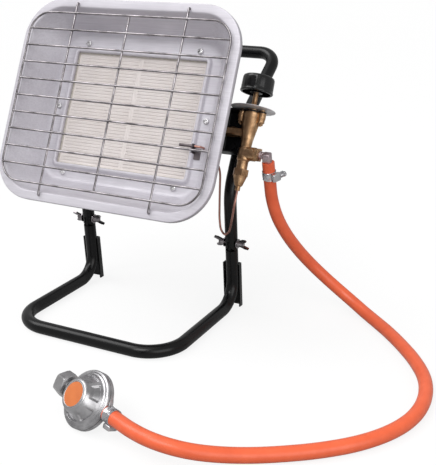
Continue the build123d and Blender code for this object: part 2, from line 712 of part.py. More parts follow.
# ---- swivel elbow on the side port; its frame's -Z is the way the hose leaves
port_end = Vector(*at(valve_x + side_port_reach, side_port_v, valve_depth))
swivel = radians(elbow_swivel)
hose_exit_dir = Vector(0, sin(swivel), -cos(swivel))
elbow_frame = Plane(tuple(port_end), x_dir=(1, 0, 0), z_dir=hose_exit_dir * -1)
elbow_reach = elbow_x - port_end.X
elbow_nut_len = 6.5
elbow_nut = Rot(0, 90, 0) * extrude(hexagon(17.0, port_bore), elbow_nut_len)
save(elbow_frame * elbow_nut, "elbow_nut")
barb_r = hose_bore / 2 - barb_play
block_left = elbow_nut_len + 0.1
block_w = elbow_reach + elbow_block / 2 - 2.0 - block_left
elbow = Rot(0, 90, 0) * extrude(Circle(port_bore - 0.1), elbow_nut_len + 2)
block = Box(block_w, elbow_block, elbow_block)
block = Pos(block_left + block_w / 2, 0, 6.2 - elbow_block / 2) * block
elbow += fillet(block.edges().filter_by(Axis.Z), 2.0)
elbow += Pos(elbow_reach, 0, -elbow_drop) * extrude(Circle(6.0), elbow_drop)
elbow += Pos(elbow_reach, 0, -elbow_drop - barb_len) * extrude(Circle(barb_r), barb_len + 1)
save(elbow_frame * elbow, "hose_elbow")

# ================================================================ hose
hose_r = hose_d / 2
exit_point = Vector(*elbow_frame.from_local_coords((elbow_reach, 0, -elbow_drop)))
ring = Circle(hose_r) - Circle(hose_bore / 2)
cuff_end = exit_point + hose_exit_dir * upper_cuff_len
save(bar(ring, exit_point, cuff_end), "hose_upper_end")

reg_up = radians(reg_elevation)
reg_turn = radians(reg_azimuth)
reg_z = reg_r * cos(reg_up) + reg_rim * sin(reg_up)
reg_normal = Vector(-sin(reg_turn) * cos(reg_up), -cos(reg_turn) * cos(reg_up), sin(reg_up))
reg_axis = Vector(-cos(reg_turn), sin(reg_turn), 0)
regulator = Plane((reg_x, reg_y, reg_z), x_dir=reg_axis, z_dir=reg_normal)


def reg_at(along):
    """Point on the regulator's gas axis."""
    return tuple(regulator.from_local_coords((along, 0, reg_port_h)))


port_face = reg_r + port_stub
lower_end = -(port_face + lower_cuff_len)
save(bar(ring, reg_at(-port_face), reg_at(lower_end)), "hose_lower_end")

lie = hose_r + hose_lift
straight_out = 22.0      # the hose leaves each cuff in line with it
straight_in = 18.0
route = [
    tuple(cuff_end),
    tuple(cuff_end + hose_exit_dir * straight_out),
    (188.5, 197.6, 148.0),
    (198.0, 212.0, 119.0),
    (209.5, 229.0, 92.5),
    (223.6, 244.7, 68.6),
    (241.2, 254.1, 48.7),
    (262.3, 256.6, 32.3),
    (285.2, 252.2, 20.0),
    (308.0, 240.5, 12.0),
    (331.0, 223.0, lie + 0.2),
    (354.0, 201.0, lie),
    (381.0, 170.5, lie),
    (408.0, 136.0, lie),
    (432.0, 94.0, lie),
    (443.0, 47.0, lie),
    (441.0, 2.0, lie),
    (426.5, -38.0, lie),
    (401.0, -75.0, lie),
    (367.5, -106.0, lie),
    (335.0, -129.0, lie),
    (309.0, -145.5, lie + 0.4),
    (282.3, -163.8, 12.9),
    (258.2, -180.3, 19.2),
    (234.7, -188.6, 23.9),
    (210.6, -190.0, 26.7),
    reg_at(lower_end - straight_in),
    reg_at(lower_end),
]
radii = arc_radii(route)
gas_hose = pipe(route, radii, hose_r)
save(gas_hose, "gas_hose")


def clamp(frame, turn):
    """Worm-drive band, lying along the frame's Z from its origin."""
    band = extrude(Circle(hose_r + clamp_t) - Circle(hose_r), clamp_w)
    house = Pos(hose_r + 3.8, 2.0, clamp_w / 2) * Box(7.0, 13.0, clamp_w - 0.6)
    house = fillet(house.edges().filter_by(Axis.Z), 1.5)
    house -= Cylinder(hose_r + clamp_t, 3 * clamp_w)
    tab = Pos(hose_r + 3.2, 10.0, clamp_w / 2) * Box(1.2, 5.0, clamp_w - 2.4)
    screw = Pos(hose_r + 3.8, 8.5, clamp_w / 2) * Rot(-90, 0, 0) * extrude(Circle(2.6), 5.5)
    screw += Pos(hose_r + 3.8, 14.0, clamp_w / 2) * Rot(-90, 0, 0) * (
        extrude(hexagon(6.5), 3.5) - Pos(0, 0, 3) * Box(6, 1, 1.2))
    place = frame * Rot(0, 0, turn)
    return place * (band + house), place * screw


upper_frame = Plane(tuple(exit_point + hose_exit_dir * (clamp_drop + clamp_w)), x_dir=(1, 0, 0),
                    z_dir=hose_exit_dir * -1)
band, screw = clamp(upper_frame, upper_clamp_turn)
save(band, "upper_hose_clamp")
save(screw, "upper_clamp_screw")
lower_clamp_gap = 1.5
lower_frame = Plane(reg_at(-port_face - lower_clamp_gap), x_dir=(0, 0, 1), z_dir=reg_axis * -1)
band, screw = clamp(lower_frame, lower_clamp_turn)
save(band, "lower_hose_clamp")
save(screw, "lower_clamp_screw")

# ================================================================ regulator
cap = turned([(0, -4.0), (reg_r, -4.0), (reg_r, -0.8), (reg_r - 0.8, 0), (reg_r - 3.2, 0.6),
              (reg_r - 4.0, 2.6), (badge_r + 4.5, reg_cap_h - 3.5), (badge_r + 1.5, reg_cap_h),
              (0, reg_cap_h)], Plane.XY)
pocket = turned([(badge_r + 5.0, 6.0), (reg_r - 7.5, 6.0), (reg_r - 9.0, 16.0),
                 (badge_r + 5.0, 18.0)], Plane.XY)
narrow_rib = 3.0
wide_rib = 8.0
for turn, rib in ((0, wide_rib), (60, narrow_rib), (120, narrow_rib)):
    pocket -= Rot(0, 0, turn) * Box(3 * reg_r, rib, 3 * reg_cap_h)
cap -= pocket
badge_seat = Pos(0, 0, reg_cap_h - badge_sunk)
cap -= badge_seat * extrude(Circle(badge_r), 2)
save(regulator * cap, "regulator_cap")
save(regulator * badge_seat * extrude(Circle(badge_r - 0.05), badge_t), "regulator_badge")

bowl_r = 17.0
bowl_back = 26.0
reg_body = turned([(0, -reg_rim), (0, -bowl_back), (bowl_r, -bowl_back), (bowl_r + 3, 2 - bowl_back),
                   (reg_r - 6, -reg_rim - 4), (reg_r - 4, -reg_rim), (reg_r, -reg_rim),
                   (reg_r, -reg_split), (0, -reg_split)], Plane.XY)
gas_boss = bar(Circle(port_r), (-port_face, 0, reg_port_h), (port_face, 0, reg_port_h))
gas_boss -= extrude(Pos(0, 0, -reg_split) * Circle(reg_r + port_stub + 1), 20)
reg_body += gas_boss
save(regulator * reg_body, "regulator_body")
diaphragm = extrude(Pos(0, 0, -reg_split) * Circle(reg_r - 0.3), diaphragm_t)
save(regulator * diaphragm, "regulator_diaphragm")


def on_port(section, start, end):
    """Prism along the inlet's axis, between two distances from the middle of the disc."""
    return bar(section, (start, 0, reg_port_h), (end, 0, reg_port_h))


stem_out_r = 6.4
seat_r = 9.6
seat_t = 3.0
seat_play = 0.3
seat_start = nut_start + nut_collar + 0.2
seat_end = seat_start + seat_t
seal_t = 1.8
inlet = on_port(Circle(stem_out_r), port_face, seat_end)
inlet += on_port(Circle(seat_r), seat_start, seat_end)
save(regulator * inlet, "inlet_stem")
seal = on_port(Circle(seat_r - 0.6) - Circle(4), seat_end, seat_end + seal_t)
save(regulator * seal, "inlet_seal")

nut_end = nut_start + nut_len
nut = on_port(hexagon(nut_af, stem_out_r + pin_play), nut_start, nut_end)
nut -= on_port(Circle(seat_r + seat_play), nut_start + nut_collar, seat_end + seal_t)
nut -= on_port(Circle(nut_thread_r), seat_end + seal_t, nut_end + 1)
corner_r = nut_af / 2 + 3
trim = turned([(0, 0), (nut_af / 2 - 0.6, 0), (corner_r, 2.2), (corner_r, nut_len - 2.2),
               (nut_af / 2 - 0.6, nut_len), (0, nut_len)],
              Plane((nut_start, 0, reg_port_h), z_dir=(1, 0, 0)))
save(regulator * (nut & trim), "union_nut")

barb_tip = reg_at(-port_face - lower_cuff_len + 2)
save(bar(Circle(barb_r), reg_at(-port_face), barb_tip), "outlet_barb")

# ================================================================ thermocouple
probe_stand = 7.0        # probe's axis in front of the pan's floor
probe_depth = floor_depth - probe_stand
probe_r = 2.0
probe_tip_x = 88.0
probe_end_x = 110.0
tab_t = 1.2
tab_w = 9.6
tab_x = opening_w / 2 + bead_w + 0.6 + tab_t / 2
tab_h = probe_stand + probe_r + 1.0
probe = bar(Circle(probe_r), (probe_tip_x, lead_hole_v, -probe_depth),
            (probe_end_x, lead_hole_v, -probe_depth))
save(head * probe, "thermocouple_probe")
holder = Pos(tab_x + (tab_w - tab_t) / 2, lead_hole_v - 9, -floor_depth + tab_t / 2) * Box(
    tab_w, 14, tab_t)
holder += Pos(tab_x, lead_hole_v - 3, -floor_depth + tab_h / 2) * Box(tab_t, 12, tab_h)
save(head * (holder - probe), "probe_holder")

lead_r = 1.5
lead_route = [
    at(probe_end_x, lead_hole_v, probe_depth),
    at(lead_hole_x, lead_hole_v, probe_depth),
    at(lead_hole_x, lead_hole_v, floor_depth + 14),
    (117.0, 152.0, 231.0),
    (113.5, 173.0, 212.0),
    (111.0, 176.0, 180.0),
    (111.0, 175.0, 142.0),
    (113.5, 174.0, 126.0),
    (121.0, 172.0, 119.0),
    (130.0, 168.0, 127.0),
    (140.0, 154.0, 147.0),
    at(valve_x, tail_low - 21, valve_depth),
    at(valve_x, tail_low, valve_depth),
]
save(pipe(lead_route, arc_radii(lead_route), lead_r), "thermocouple_lead")

length = FilletPolyline(*route, radius=radii).length
print("hose radii", [round(radius) for radius in radii])
print("hose length", round(length), "volume ratio", gas_hose.volume / (length * pi * hose_r ** 2))
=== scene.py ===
# %% [markdown]
# # A portable propane heater, dressed for its portrait
# The solids of this heater come from a CAD file and are already in place. This lesson gives
# them their finishes and replaces a few of them by richer meshes: the orange hose, the wire
# guard, the reflector pan, the pierced ceramic, the knob and the die-cast regulator.
# Everything is in metres, +Z is up, and the heater looks towards -Y.

# %% Load the fixed frame
import json
from math import copysign, cos, hypot, pi, radians, sin

import bmesh
import bpy
from mathutils import Matrix, Vector


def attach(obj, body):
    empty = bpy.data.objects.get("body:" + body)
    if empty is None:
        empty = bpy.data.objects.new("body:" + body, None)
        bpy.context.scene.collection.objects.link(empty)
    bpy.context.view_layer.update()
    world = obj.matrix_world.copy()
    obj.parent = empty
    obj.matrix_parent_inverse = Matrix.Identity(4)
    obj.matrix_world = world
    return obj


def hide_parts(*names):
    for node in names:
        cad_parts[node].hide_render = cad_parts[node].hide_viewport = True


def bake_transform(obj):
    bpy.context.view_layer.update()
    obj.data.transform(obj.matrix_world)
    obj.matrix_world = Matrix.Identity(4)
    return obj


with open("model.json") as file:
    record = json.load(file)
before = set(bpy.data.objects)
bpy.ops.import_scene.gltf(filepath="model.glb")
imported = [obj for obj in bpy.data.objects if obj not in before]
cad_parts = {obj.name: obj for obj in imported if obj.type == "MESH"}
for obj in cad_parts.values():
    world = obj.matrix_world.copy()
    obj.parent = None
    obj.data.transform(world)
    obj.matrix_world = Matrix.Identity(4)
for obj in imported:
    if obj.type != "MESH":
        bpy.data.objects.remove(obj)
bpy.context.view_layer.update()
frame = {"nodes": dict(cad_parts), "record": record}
nodes = frame["nodes"]
MM = 0.001

# %% [markdown]
# ## The camera
# The viewpoint is that of a catalogue picture: a little above the heater and to its right,
# from about a metre. The lens is given by its focal length in pixels of a 436 x 465 picture,
# because that is how a picture's perspective is measured. Blender wants millimetres on a
# sensor, so the number is scaled by the sensor's long side.

# %% Camera
PICTURE = (436, 465)
FOCAL_PIXELS = 857.217
CAMERA_PLACE = (0.62187, -0.83750, 0.52412)
CAMERA_TURN = radians(26.872)     # to the heater's right
CAMERA_RISE = radians(19.576)     # above the horizon

camera_data = bpy.data.cameras.new("camera")
camera_data.sensor_width = 36.0
camera_data.lens = FOCAL_PIXELS * camera_data.sensor_width / max(PICTURE)
camera = bpy.data.objects.new("camera", camera_data)
bpy.context.scene.collection.objects.link(camera)
camera.location = CAMERA_PLACE
towards_camera = Vector((sin(CAMERA_TURN) * cos(CAMERA_RISE),
                         -cos(CAMERA_TURN) * cos(CAMERA_RISE), sin(CAMERA_RISE)))
camera.rotation_mode = "QUATERNION"
camera.rotation_quaternion = (-towards_camera).to_track_quat("-Z", "Y")
bpy.context.scene.camera = camera
print("lens", round(camera_data.lens, 2), "mm")

# %% [markdown]
# ## The hose
# A rubber gas hose is one soft tube. It leaves the elbow almost straight down, swings out
# behind the stand, lies on the floor in one wide loop and climbs a little into the
# regulator. A NURBS curve of order 3 gives such a line from a few control points: it never
# kinks, because it only leans towards each point. The order is set after the points are in,
# otherwise Blender keeps it at 2, which is straight runs.

# %% Route of the hose
HOSE_D = 0.017
HOSE_LIE = 8.8                    # centre line above the floor, in millimetres
HOSE_ROUTE = [
    (182.3, 177.7, 230.3), (182.3, 185.9, 197.3), (182.5, 191.3, 175.9),
    (188.5, 197.6, 148), (198, 212, 119), (209.5, 229, 92.5), (223.6, 244.7, 68.6),
    (241.2, 254.1, 48.7), (262.3, 256.6, 32.3), (285.2, 252.2, 20), (308, 240.5, 12),
    (331, 223, 9), (354, 201, HOSE_LIE), (381, 170.5, HOSE_LIE), (408, 136, HOSE_LIE),
    (432, 94, HOSE_LIE), (443, 47, HOSE_LIE), (441, 2, HOSE_LIE), (426.5, -38, HOSE_LIE),
    (401, -75, HOSE_LIE), (367.5, -106, HOSE_LIE), (335, -129, HOSE_LIE),
    (309, -145.5, 9.2), (282.3, -163.8, 12.9), (258.2, -180.3, 19.2), (234.7, -188.6, 23.9),
    (210.6, -190, 26.7), (187.7, -184.9, 27.7), (171, -178.1, 27.7), (148.7, -169.1, 27.7),
]


def linked(name, data):
    """A new object for the data, in the scene, at the origin."""
    made = bpy.data.objects.new(name, data)
    bpy.context.scene.collection.objects.link(made)
    return made


def nurbs(name, points, bevel=0.0, sides=6):
    """An open NURBS curve through millimetre points, with the first and last reached."""
    data = bpy.data.curves.new(name, "CURVE")
    data.dimensions = "3D"
    data.resolution_u = 8
    data.bevel_depth = bevel
    data.bevel_resolution = sides
    data.use_fill_caps = bevel > 0
    spline = data.splines.new("NURBS")
    spline.points.add(len(points) - 1)
    for point, place in zip(spline.points, points):
        point.co = (*(x * MM for x in place), 1.0)
    spline.order_u = 3
    spline.use_endpoint_u = True
    return linked(name, data)


def as_mesh(source, name):
    """The object's evaluated shape as a new plain mesh object; the source is removed."""
    graph = bpy.context.evaluated_depsgraph_get()
    mesh = bpy.data.meshes.new_from_object(source.evaluated_get(graph))
    mesh.name = name
    bpy.data.objects.remove(source)
    return linked(name, mesh)


centre = as_mesh(nurbs("hose_centre", HOSE_ROUTE), "hose_line")
bpy.data.objects.remove(centre)

# %% [markdown]
# The tube itself is a second NURBS curve on the same points with a round bevel. The head tilts and
# the regulator does not; the tube is one plain mesh between them, and it takes the place of the
# hose's solids.

# %% Tube of the hose
hose = as_mesh(nurbs("hose_tube", HOSE_ROUTE, HOSE_D / 2, 10), "hose")
for face in hose.data.polygons:
    face.use_smooth = True
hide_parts("hose_upper_end", "gas_hose", "hose_lower_end")
print("hose faces", len(hose.data.polygons))

# %% [markdown]
# ## Shader maths written as Python
# A finish is a small graph of nodes. Placing each Math node by hand hides the idea, so one
# class wraps a socket and overloads the operators: `0.3 + 0.1 * grain` then adds its own
# Math nodes. Every other node comes from one method, `node`, which sets the node's own
# settings first and its sockets second. A few more methods
# turn the same class into a builder of geometry graphs later.

# %% Nodes and values
class Value:
    """A socket that can be reckoned with."""

    def __init__(self, graph, socket):
        self.graph = graph
        self.socket = socket

    def maths(self, operation, first, second):
        return self.graph.node("ShaderNodeMath", {"operation": operation}, {0: first, 1: second})

    def __add__(self, other):
        return self.maths("ADD", self, other)

    def __radd__(self, other):
        return self.maths("ADD", other, self)

    def __sub__(self, other):
        return self.maths("SUBTRACT", self, other)

    def __rsub__(self, other):
        return self.maths("SUBTRACT", other, self)

    def __mul__(self, other):
        return self.maths("MULTIPLY", self, other)

    def __rmul__(self, other):
        return self.maths("MULTIPLY", other, self)


class Graph:
    """Adds nodes to one node tree."""

    def __init__(self, tree):
        self.tree = tree

    def plug(self, value, socket):
        for each in value if isinstance(value, list) else [value]:
            if isinstance(each, Value):
                self.tree.links.new(each.socket, socket)
            else:
                socket.default_value = each

    def node(self, kind, settings=None, inputs=None, output=0):
        made = self.tree.nodes.new(kind)
        for name, value in (settings or {}).items():
            setattr(made, name, value)
        for name, value in (inputs or {}).items():
            self.plug(value, made.inputs[name])
        return None if output is None else Value(self, made.outputs[output])

    def outputs(self, kind):
        """Every named output of a new node."""
        self.node(kind, output=None)
        return {socket.name: Value(self, socket) for socket in self.tree.nodes[-1].outputs
                if socket.name}

    def seen_directly(self, in_metal):
        """1 for what the camera or a glass sees, a share of it for what a gloss mirrors."""
        rays = self.outputs("ShaderNodeLightPath")
        return (rays["Is Camera Ray"] + rays["Is Transmission Ray"]
                + rays["Is Glossy Ray"] * in_metal)


def linear(red, green, blue):
    """A colour as a screen shows it, 0 to 255, in Blender's linear light."""
    shares = [x / 255 for x in (red, green, blue)]
    return (*(x / 12.92 if x < 0.04 else ((x + 0.055) / 1.055) ** 2.4 for x in shares), 1.0)


class Finish(Graph):
    """One procedural material: what is the same all over is set on the shader itself."""

    def __init__(self, name, **constants):
        self.material = bpy.data.materials.new(name)
        self.material.use_nodes = True
        super().__init__(self.material.node_tree)
        self.shader = self.tree.nodes["Principled BSDF"]
        for socket, value in constants.items():
            self.shader.inputs[socket.replace("_", " ").title().replace("Ior", "IOR")
                               ].default_value = value
        self.place = self.node("ShaderNodeTexCoord", output="Object")

    def noise(self, scale, detail, stretch=None):
        """Clouds in object coordinates, which may be drawn out along the axes."""
        place = self.place if stretch is None else self.node(
            "ShaderNodeMapping", {}, {"Vector": self.place, "Scale": stretch})
        return self.node("ShaderNodeTexNoise", {}, {"Vector": place, "Scale": scale,
                                                    "Detail": detail}, output="Fac")

    def band(self, value, low, high):
        """The value's range low to high spread over 0 to 1, and clipped there."""
        return self.node("ShaderNodeMapRange", {}, {"Value": value, "From Min": low,
                                                    "From Max": high})

    def mix(self, share, first, second):
        """A colour between two that are written as a screen shows them."""
        return self.node("ShaderNodeMix", {"data_type": "RGBA"},
                         {0: share, 6: linear(*first), 7: linear(*second)}, output=2)

    def coated(self, colour, rough, height, deep):
        """Plug in colour, roughness and relief, and hand over the finished material."""
        relief = self.node("ShaderNodeBump", {}, {"Height": height, "Distance": deep})
        for socket, value in (("Base Color", colour), ("Roughness", rough), ("Normal", relief)):
            self.plug(value, self.shader.inputs[socket])
        return self.material


print("values, graphs and finishes are ready")

# %% [markdown]
# ## Painted metal
# The tubes carry a glossy black paint. Sprayed paint is never quite flat: it has a faint
# orange peel, and the gloss varies where dust settled. Both come from noise in object
# coordinates, so they stay with the part. The brackets have the same paint, laid thinner on
# rougher sheet. The pan is finished in a pale satin grey, with the fine streaks of rolled
# sheet under it.

# %% Paints
FINISHES = {}                     # material slot in the record: its finish


def black_paint(name, low, high, peel):
    paint = Finish(name, metallic=0.0, specular_ior_level=0.3)
    dust = paint.band(paint.noise(30.0, 3.0), 0.3, 0.8)
    return paint.coated(paint.mix(dust, (5, 5, 6), (9, 9, 10)), low + (high - low) * dust,
                        paint.noise(520.0, 2.0), peel)


FINISHES["frame_black"] = black_paint("frame_black_paint", 0.23, 0.29, 0.00005)
FINISHES["bracket_black"] = black_paint("bracket_black_paint", 0.38, 0.5, 0.0001)

pan_paint = Finish("pan_satin_grey", metallic=0.2, specular_ior_level=0.5)
streaks = pan_paint.band(pan_paint.noise(9.0, 6.0, (2.0, 60.0, 60.0)), 0.3, 0.7)
clouds = pan_paint.band(pan_paint.noise(14.0, 3.0), 0.3, 0.75)
FINISHES["pan_grey"] = pan_paint.coated(
    pan_paint.mix(0.55 * clouds + 0.45 * streaks, (214, 211, 218), (184, 180, 188)),
    0.44 + 0.12 * clouds, streaks, 0.00006)
print("paints:", sorted(FINISHES))

# %% [markdown]
# ## Bare metal
# Zinc, steel, brass and copper differ in colour, but wear alike: a base colour that clouds
# a little, a roughness that follows the same clouds, and a grain. One function makes them
# all; a cast surface gets a coarse grain, a drawn or turned one a fine one.

# %% Metals
# Each row: name, light, dark, roughness and its spread, scale and height of the grain, and
# where they are unusual the scale of the clouds and the share of metal.
METALS = {
    "guard_zinc": ("guard_zinc", (178, 173, 176), (92, 88, 90), 0.12, 0.1, 900.0, 0.00005),
    "fastener_zinc": ("fastener_zinc", (232, 231, 232), (190, 189, 191), 0.2, 0.2, 700.0,
                      0.00006),
    "burner_steel": ("burner_aluminised", (176, 176, 180), (140, 140, 145), 0.36, 0.2, 260.0,
                     0.0002, 24.0),
    "valve_brass": ("valve_cast_brass", (212, 174, 134), (142, 108, 78), 0.24, 0.24, 620.0,
                    0.0003, 90.0),
    "elbow_nickel": ("elbow_nickel", (214, 198, 200), (172, 156, 160), 0.3, 0.2, 500.0, 0.00012),
    "clamp_steel": ("clamp_stainless", (214, 213, 215), (170, 169, 172), 0.14, 0.2, 480.0,
                    0.00008),
    "regulator_zinc": ("regulator_die_cast", (216, 215, 217), (140, 139, 141), 0.26, 0.12,
                       300.0, 0.00003, 48.0),
    "nut_zinc": ("union_nut_zinc", (204, 203, 204), (156, 155, 156), 0.26, 0.16, 800.0, 0.00012),
    "lead_copper": ("lead_copper", (202, 152, 138), (150, 108, 98), 0.24, 0.2, 500.0, 0.00008),
    # the probe and its holder are darker than the other steels
    "probe_steel": ("probe_heat_tinted", (116, 108, 110), (70, 64, 68), 0.3, 0.25, 300.0,
                    0.0001, 120.0),
    "dial_grey": ("dial_plate_grey", (236, 237, 239), (214, 215, 218), 0.36, 0.16, 900.0,
                  0.00005, 60.0, 0.5),
}


def bare_metal(name, light, dark, rough, spread, grain_scale, grain, clouds=60.0, metallic=1.0):
    metal = Finish(name, metallic=metallic)
    tone = metal.band(metal.noise(clouds, 4.0), 0.3, 0.7)
    return metal.coated(metal.mix(tone, light, dark), rough + spread * tone,
                        metal.noise(grain_scale, 3.0), grain)


FINISHES.update({slot: bare_metal(*row) for slot, row in METALS.items()})
print("metals:", sorted(METALS))

# %% [markdown]
# ## Ceramic, rubber and plastic
# The ceramic is a chalky cream with a fine speckle, its tone varying a little at random.
# The hose is soft rubber with a faint bloom, the knob a satin plastic, the badge a bare
# printed disc.

# %% Soft and dull finishes
tile_finish = Finish("burner_ceramic", metallic=0.0, specular_ior_level=0.25)
stain = tile_finish.band(tile_finish.noise(30.0, 4.0), 0.35, 0.8)
speckle = tile_finish.band(tile_finish.noise(700.0, 2.0), 0.35, 0.7)
FINISHES["ceramic"] = tile_finish.coated(
    tile_finish.mix(0.55 * stain + 0.35 * speckle, (235, 228, 226), (220, 211, 207)),
    0.82 + 0.1 * speckle, tile_finish.noise(1500.0, 2.0), 0.00015)

fibre = Finish("gasket_fibre", metallic=0.0, specular_ior_level=0.2)
strands = fibre.band(fibre.noise(240.0, 6.0, (1.0, 3.0, 1.0)), 0.3, 0.7)
FINISHES["gasket_fibre"] = fibre.coated(
    fibre.mix(strands, (226, 222, 214), (190, 184, 172)), 0.86 + 0.1 * strands, strands, 0.0006)

MOULDED = {   # slot: name, light, dark, roughness and its spread, height of the grain
    "hose_orange": ("hose_orange_rubber", (238, 106, 66), (228, 97, 58), 0.3, 0.1, 0.00006),
    "knob_black": ("knob_black_plastic", (11, 11, 12), (9, 9, 10), 0.22, 0.06, 0.00004),
    "seal_rubber": ("seal_black_rubber", (34, 34, 34), (24, 24, 24), 0.6, 0.2, 0.0001),
    "badge_orange": ("badge_orange_print", (216, 122, 64), (202, 108, 54), 0.34, 0.1, 0.00003),
}


def moulded(name, light, dark, rough, spread, grain):
    plastic = Finish(name, metallic=0.0, specular_ior_level=0.5)
    tone = plastic.band(plastic.noise(70.0, 4.0), 0.3, 0.75)
    return plastic.coated(plastic.mix(tone, light, dark), rough + spread * tone,
                          plastic.noise(900.0, 2.0), grain)


FINISHES.update({slot: moulded(*row) for slot, row in MOULDED.items()})
print("finishes:", len(FINISHES))

# %% [markdown]
# ## Who wears what
# The record that came with the solids names a material slot for each one, and every solid takes the
# finish of its slot. A second table holds the few that differ: the tongues in the stand's tubes and
# the bracket's bolts take the bracket's black finish, the bonnet's screws are brass, and the wing
# nuts and wing screws are as bright as the guard.

# %% Dress the solids
OTHERWISE = {"bracket_bolts": "bracket_black", "bonnet_screws": "valve_brass"}
for side in ("right", "left"):
    OTHERWISE[side + "_pivot_tongue"] = "bracket_black"
    OTHERWISE[side + "_wing_nut"] = OTHERWISE[side + "_wing_screw"] = "guard_zinc"
slot_of = {part["node"]: part["material_slot"] for part in frame["record"]["subparts"]}
for node_name, solid in nodes.items():
    solid.data.materials.clear()
    solid.data.materials.append(FINISHES[OTHERWISE.get(node_name, slot_of[node_name])])
print("dressed:", len(slot_of))

# %% [markdown]
# ## The head's own frame
# The burner head leans back. Its pieces are built flat, as x to the right, v up the front
# and z out of it, in millimetres, and are then set in place once: the vertices move and the
# object stays at the origin, so that object coordinates mean the same for every piece.

# %% Frames to build in
HEAD_TILT = radians(25.3)
HEAD_CENTRE = (0, 82.2, 309.8)
SAME_POINT = 1e-7                 # metres; points nearer than this become one


def built_at(place, turn):
    """From millimetres in a piece's own frame to metres, turned and set at a place."""
    return Matrix.Translation([x * MM for x in place]) @ turn.to_4x4() @ Matrix.Scale(MM, 4)


def settle(piece, place, closed=True):
    """Move the mesh, not the object, and turn its faces outwards."""
    piece.data.transform(place)
    shape = bmesh.new()
    shape.from_mesh(piece.data)
    bmesh.ops.remove_doubles(shape, verts=shape.verts, dist=SAME_POINT)
    if closed:
        bmesh.ops.recalc_face_normals(shape, faces=shape.faces)
    shape.to_mesh(piece.data)
    shape.free()
    for face in piece.data.polygons:
        face.use_smooth = True
    return piece


def wear(piece, body, slot, *replaced, crisp=None):
    """Finish, body and stood-for solids; edges that turn by more than crisp stay sharp."""
    if crisp:
        piece.data.set_sharp_from_angle(angle=radians(crisp))
    piece.data.materials.clear()
    piece.data.materials.append(FINISHES[slot])
    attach(piece, body)
    if replaced:
        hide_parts(*replaced)
    print(piece.name, len(piece.data.polygons), "faces on", body)


HEAD = built_at(HEAD_CENTRE, Matrix.Rotation(pi / 2 - HEAD_TILT, 3, "X"))
print("head centre", [round(x, 4) for x in HEAD.translation])

# %% [markdown]
# ## The reflector pan
# The real pan is pressed from thin sheet: a flat flange with a turned-down skirt, a sloping
# wall that throws the heat forward, a floor, and a raised bead round the burner's opening.
# A pressing is a stack of rounded rectangles that change a little from one to the next, so
# the shape is given as a list of rings, joined by faces, and Solidify gives the sheet.

# %% Pan as rings
CORNER_STEPS = 14
SHEET = 1.0
PAN_RINGS = [                     # width, height, corner radius, depth
    (330, 280, 58, 12.3), (330, 280, 58, 6.5), (329.7, 279.7, 57.9, 5.8), (329.1, 279.1, 57.6, 5.4),
    (328.3, 278.3, 57.2, 5.25), (326.6, 276.6, 56.3, 5.2), (318, 268, 52, 5.2),
    (309, 259, 47.5, 5.2), (307, 257, 46.5, 5.35), (305.2, 255.2, 45.6, 5.9),
    (303.1, 253.2, 44.6, 7.6), (301.6, 252, 44, 9.8), (286, 238.8, 39.7, 20.9),
    (270, 225.6, 35.6, 32.3), (256, 214, 32.2, 42.3), (253.2, 211.6, 31.6, 44.6),
    (250.2, 208.8, 31, 46.9), (246.6, 205.4, 30.2, 48.7), (242, 201, 29, 49.7),
    (236, 195, 27, 50), (221, 175, 11.5, 50), (218.6, 172.6, 10.5, 49.7), (216.6, 170.6, 9.5, 48.9),
    (215, 169, 8.7, 47.8), (213.4, 167.4, 7.9, 46.8), (211.6, 165.6, 7.2, 46.25),
    (209.4, 163.4, 6.2, 46.05), (206.2, 160.2, 4.4, 46.1), (204.6, 158.6, 3.6, 46.6),
    (203.8, 157.8, 3.1, 47.8), (203.6, 157.6, 3, 50.8),
]


def rounded_ring(width, height, radius, steps):
    """Points round a rounded rectangle, the same count whatever its radius."""
    points = []
    for quarter in range(4):
        turn = quarter * pi / 2
        right, up = ((1, 1), (-1, 1), (-1, -1), (1, -1))[quarter]
        for step in range(steps + 1):
            angle = turn + step / steps * pi / 2
            points.append((right * (width / 2 - radius) + radius * cos(angle),
                           up * (height / 2 - radius) + radius * sin(angle)))
        ahead = ((-1, 0), (0, -1), (1, 0), (0, 1))[quarter]
        run = (width if quarter % 2 == 0 else height) - 2 * radius
        points += [(points[-1][0] + ahead[0] * run * share, points[-1][1] + ahead[1] * run * share)
                   for share in (0.2, 0.4, 0.6, 0.8)]
    return points


def lofted(name, rings):
    """Mesh through rings of equal counts, open at both ends."""
    count = len(rings[0])
    faces = [(a * count + i, a * count + (i + 1) % count, (a + 1) * count + (i + 1) % count,
              (a + 1) * count + i) for a in range(len(rings) - 1) for i in range(count)]
    mesh = bpy.data.meshes.new(name)
    mesh.from_pydata([point for ring in rings for point in ring], [], faces)
    return linked(name, mesh)


pan = lofted("reflector", [[(x, v, -depth) for x, v in rounded_ring(w, h, r, CORNER_STEPS)]
                           for w, h, r, depth in PAN_RINGS])
settle(pan, HEAD, closed=False)
wear(pan, "head", "pan_grey", "reflector_pan")
sheet_metal = pan.modifiers.new("sheet", "SOLIDIFY")
sheet_metal.thickness = SHEET * MM
sheet_metal.offset = -1

# %% [markdown]
# ## Geometry Nodes helper
# What repeats is left to Geometry Nodes: the pieces below give a short graph, its sizes are
# named inputs of the tree, and the evaluated result becomes a plain mesh.

# %% Run a graph once
KINDS = {int: "NodeSocketInt", float: "NodeSocketFloat"}


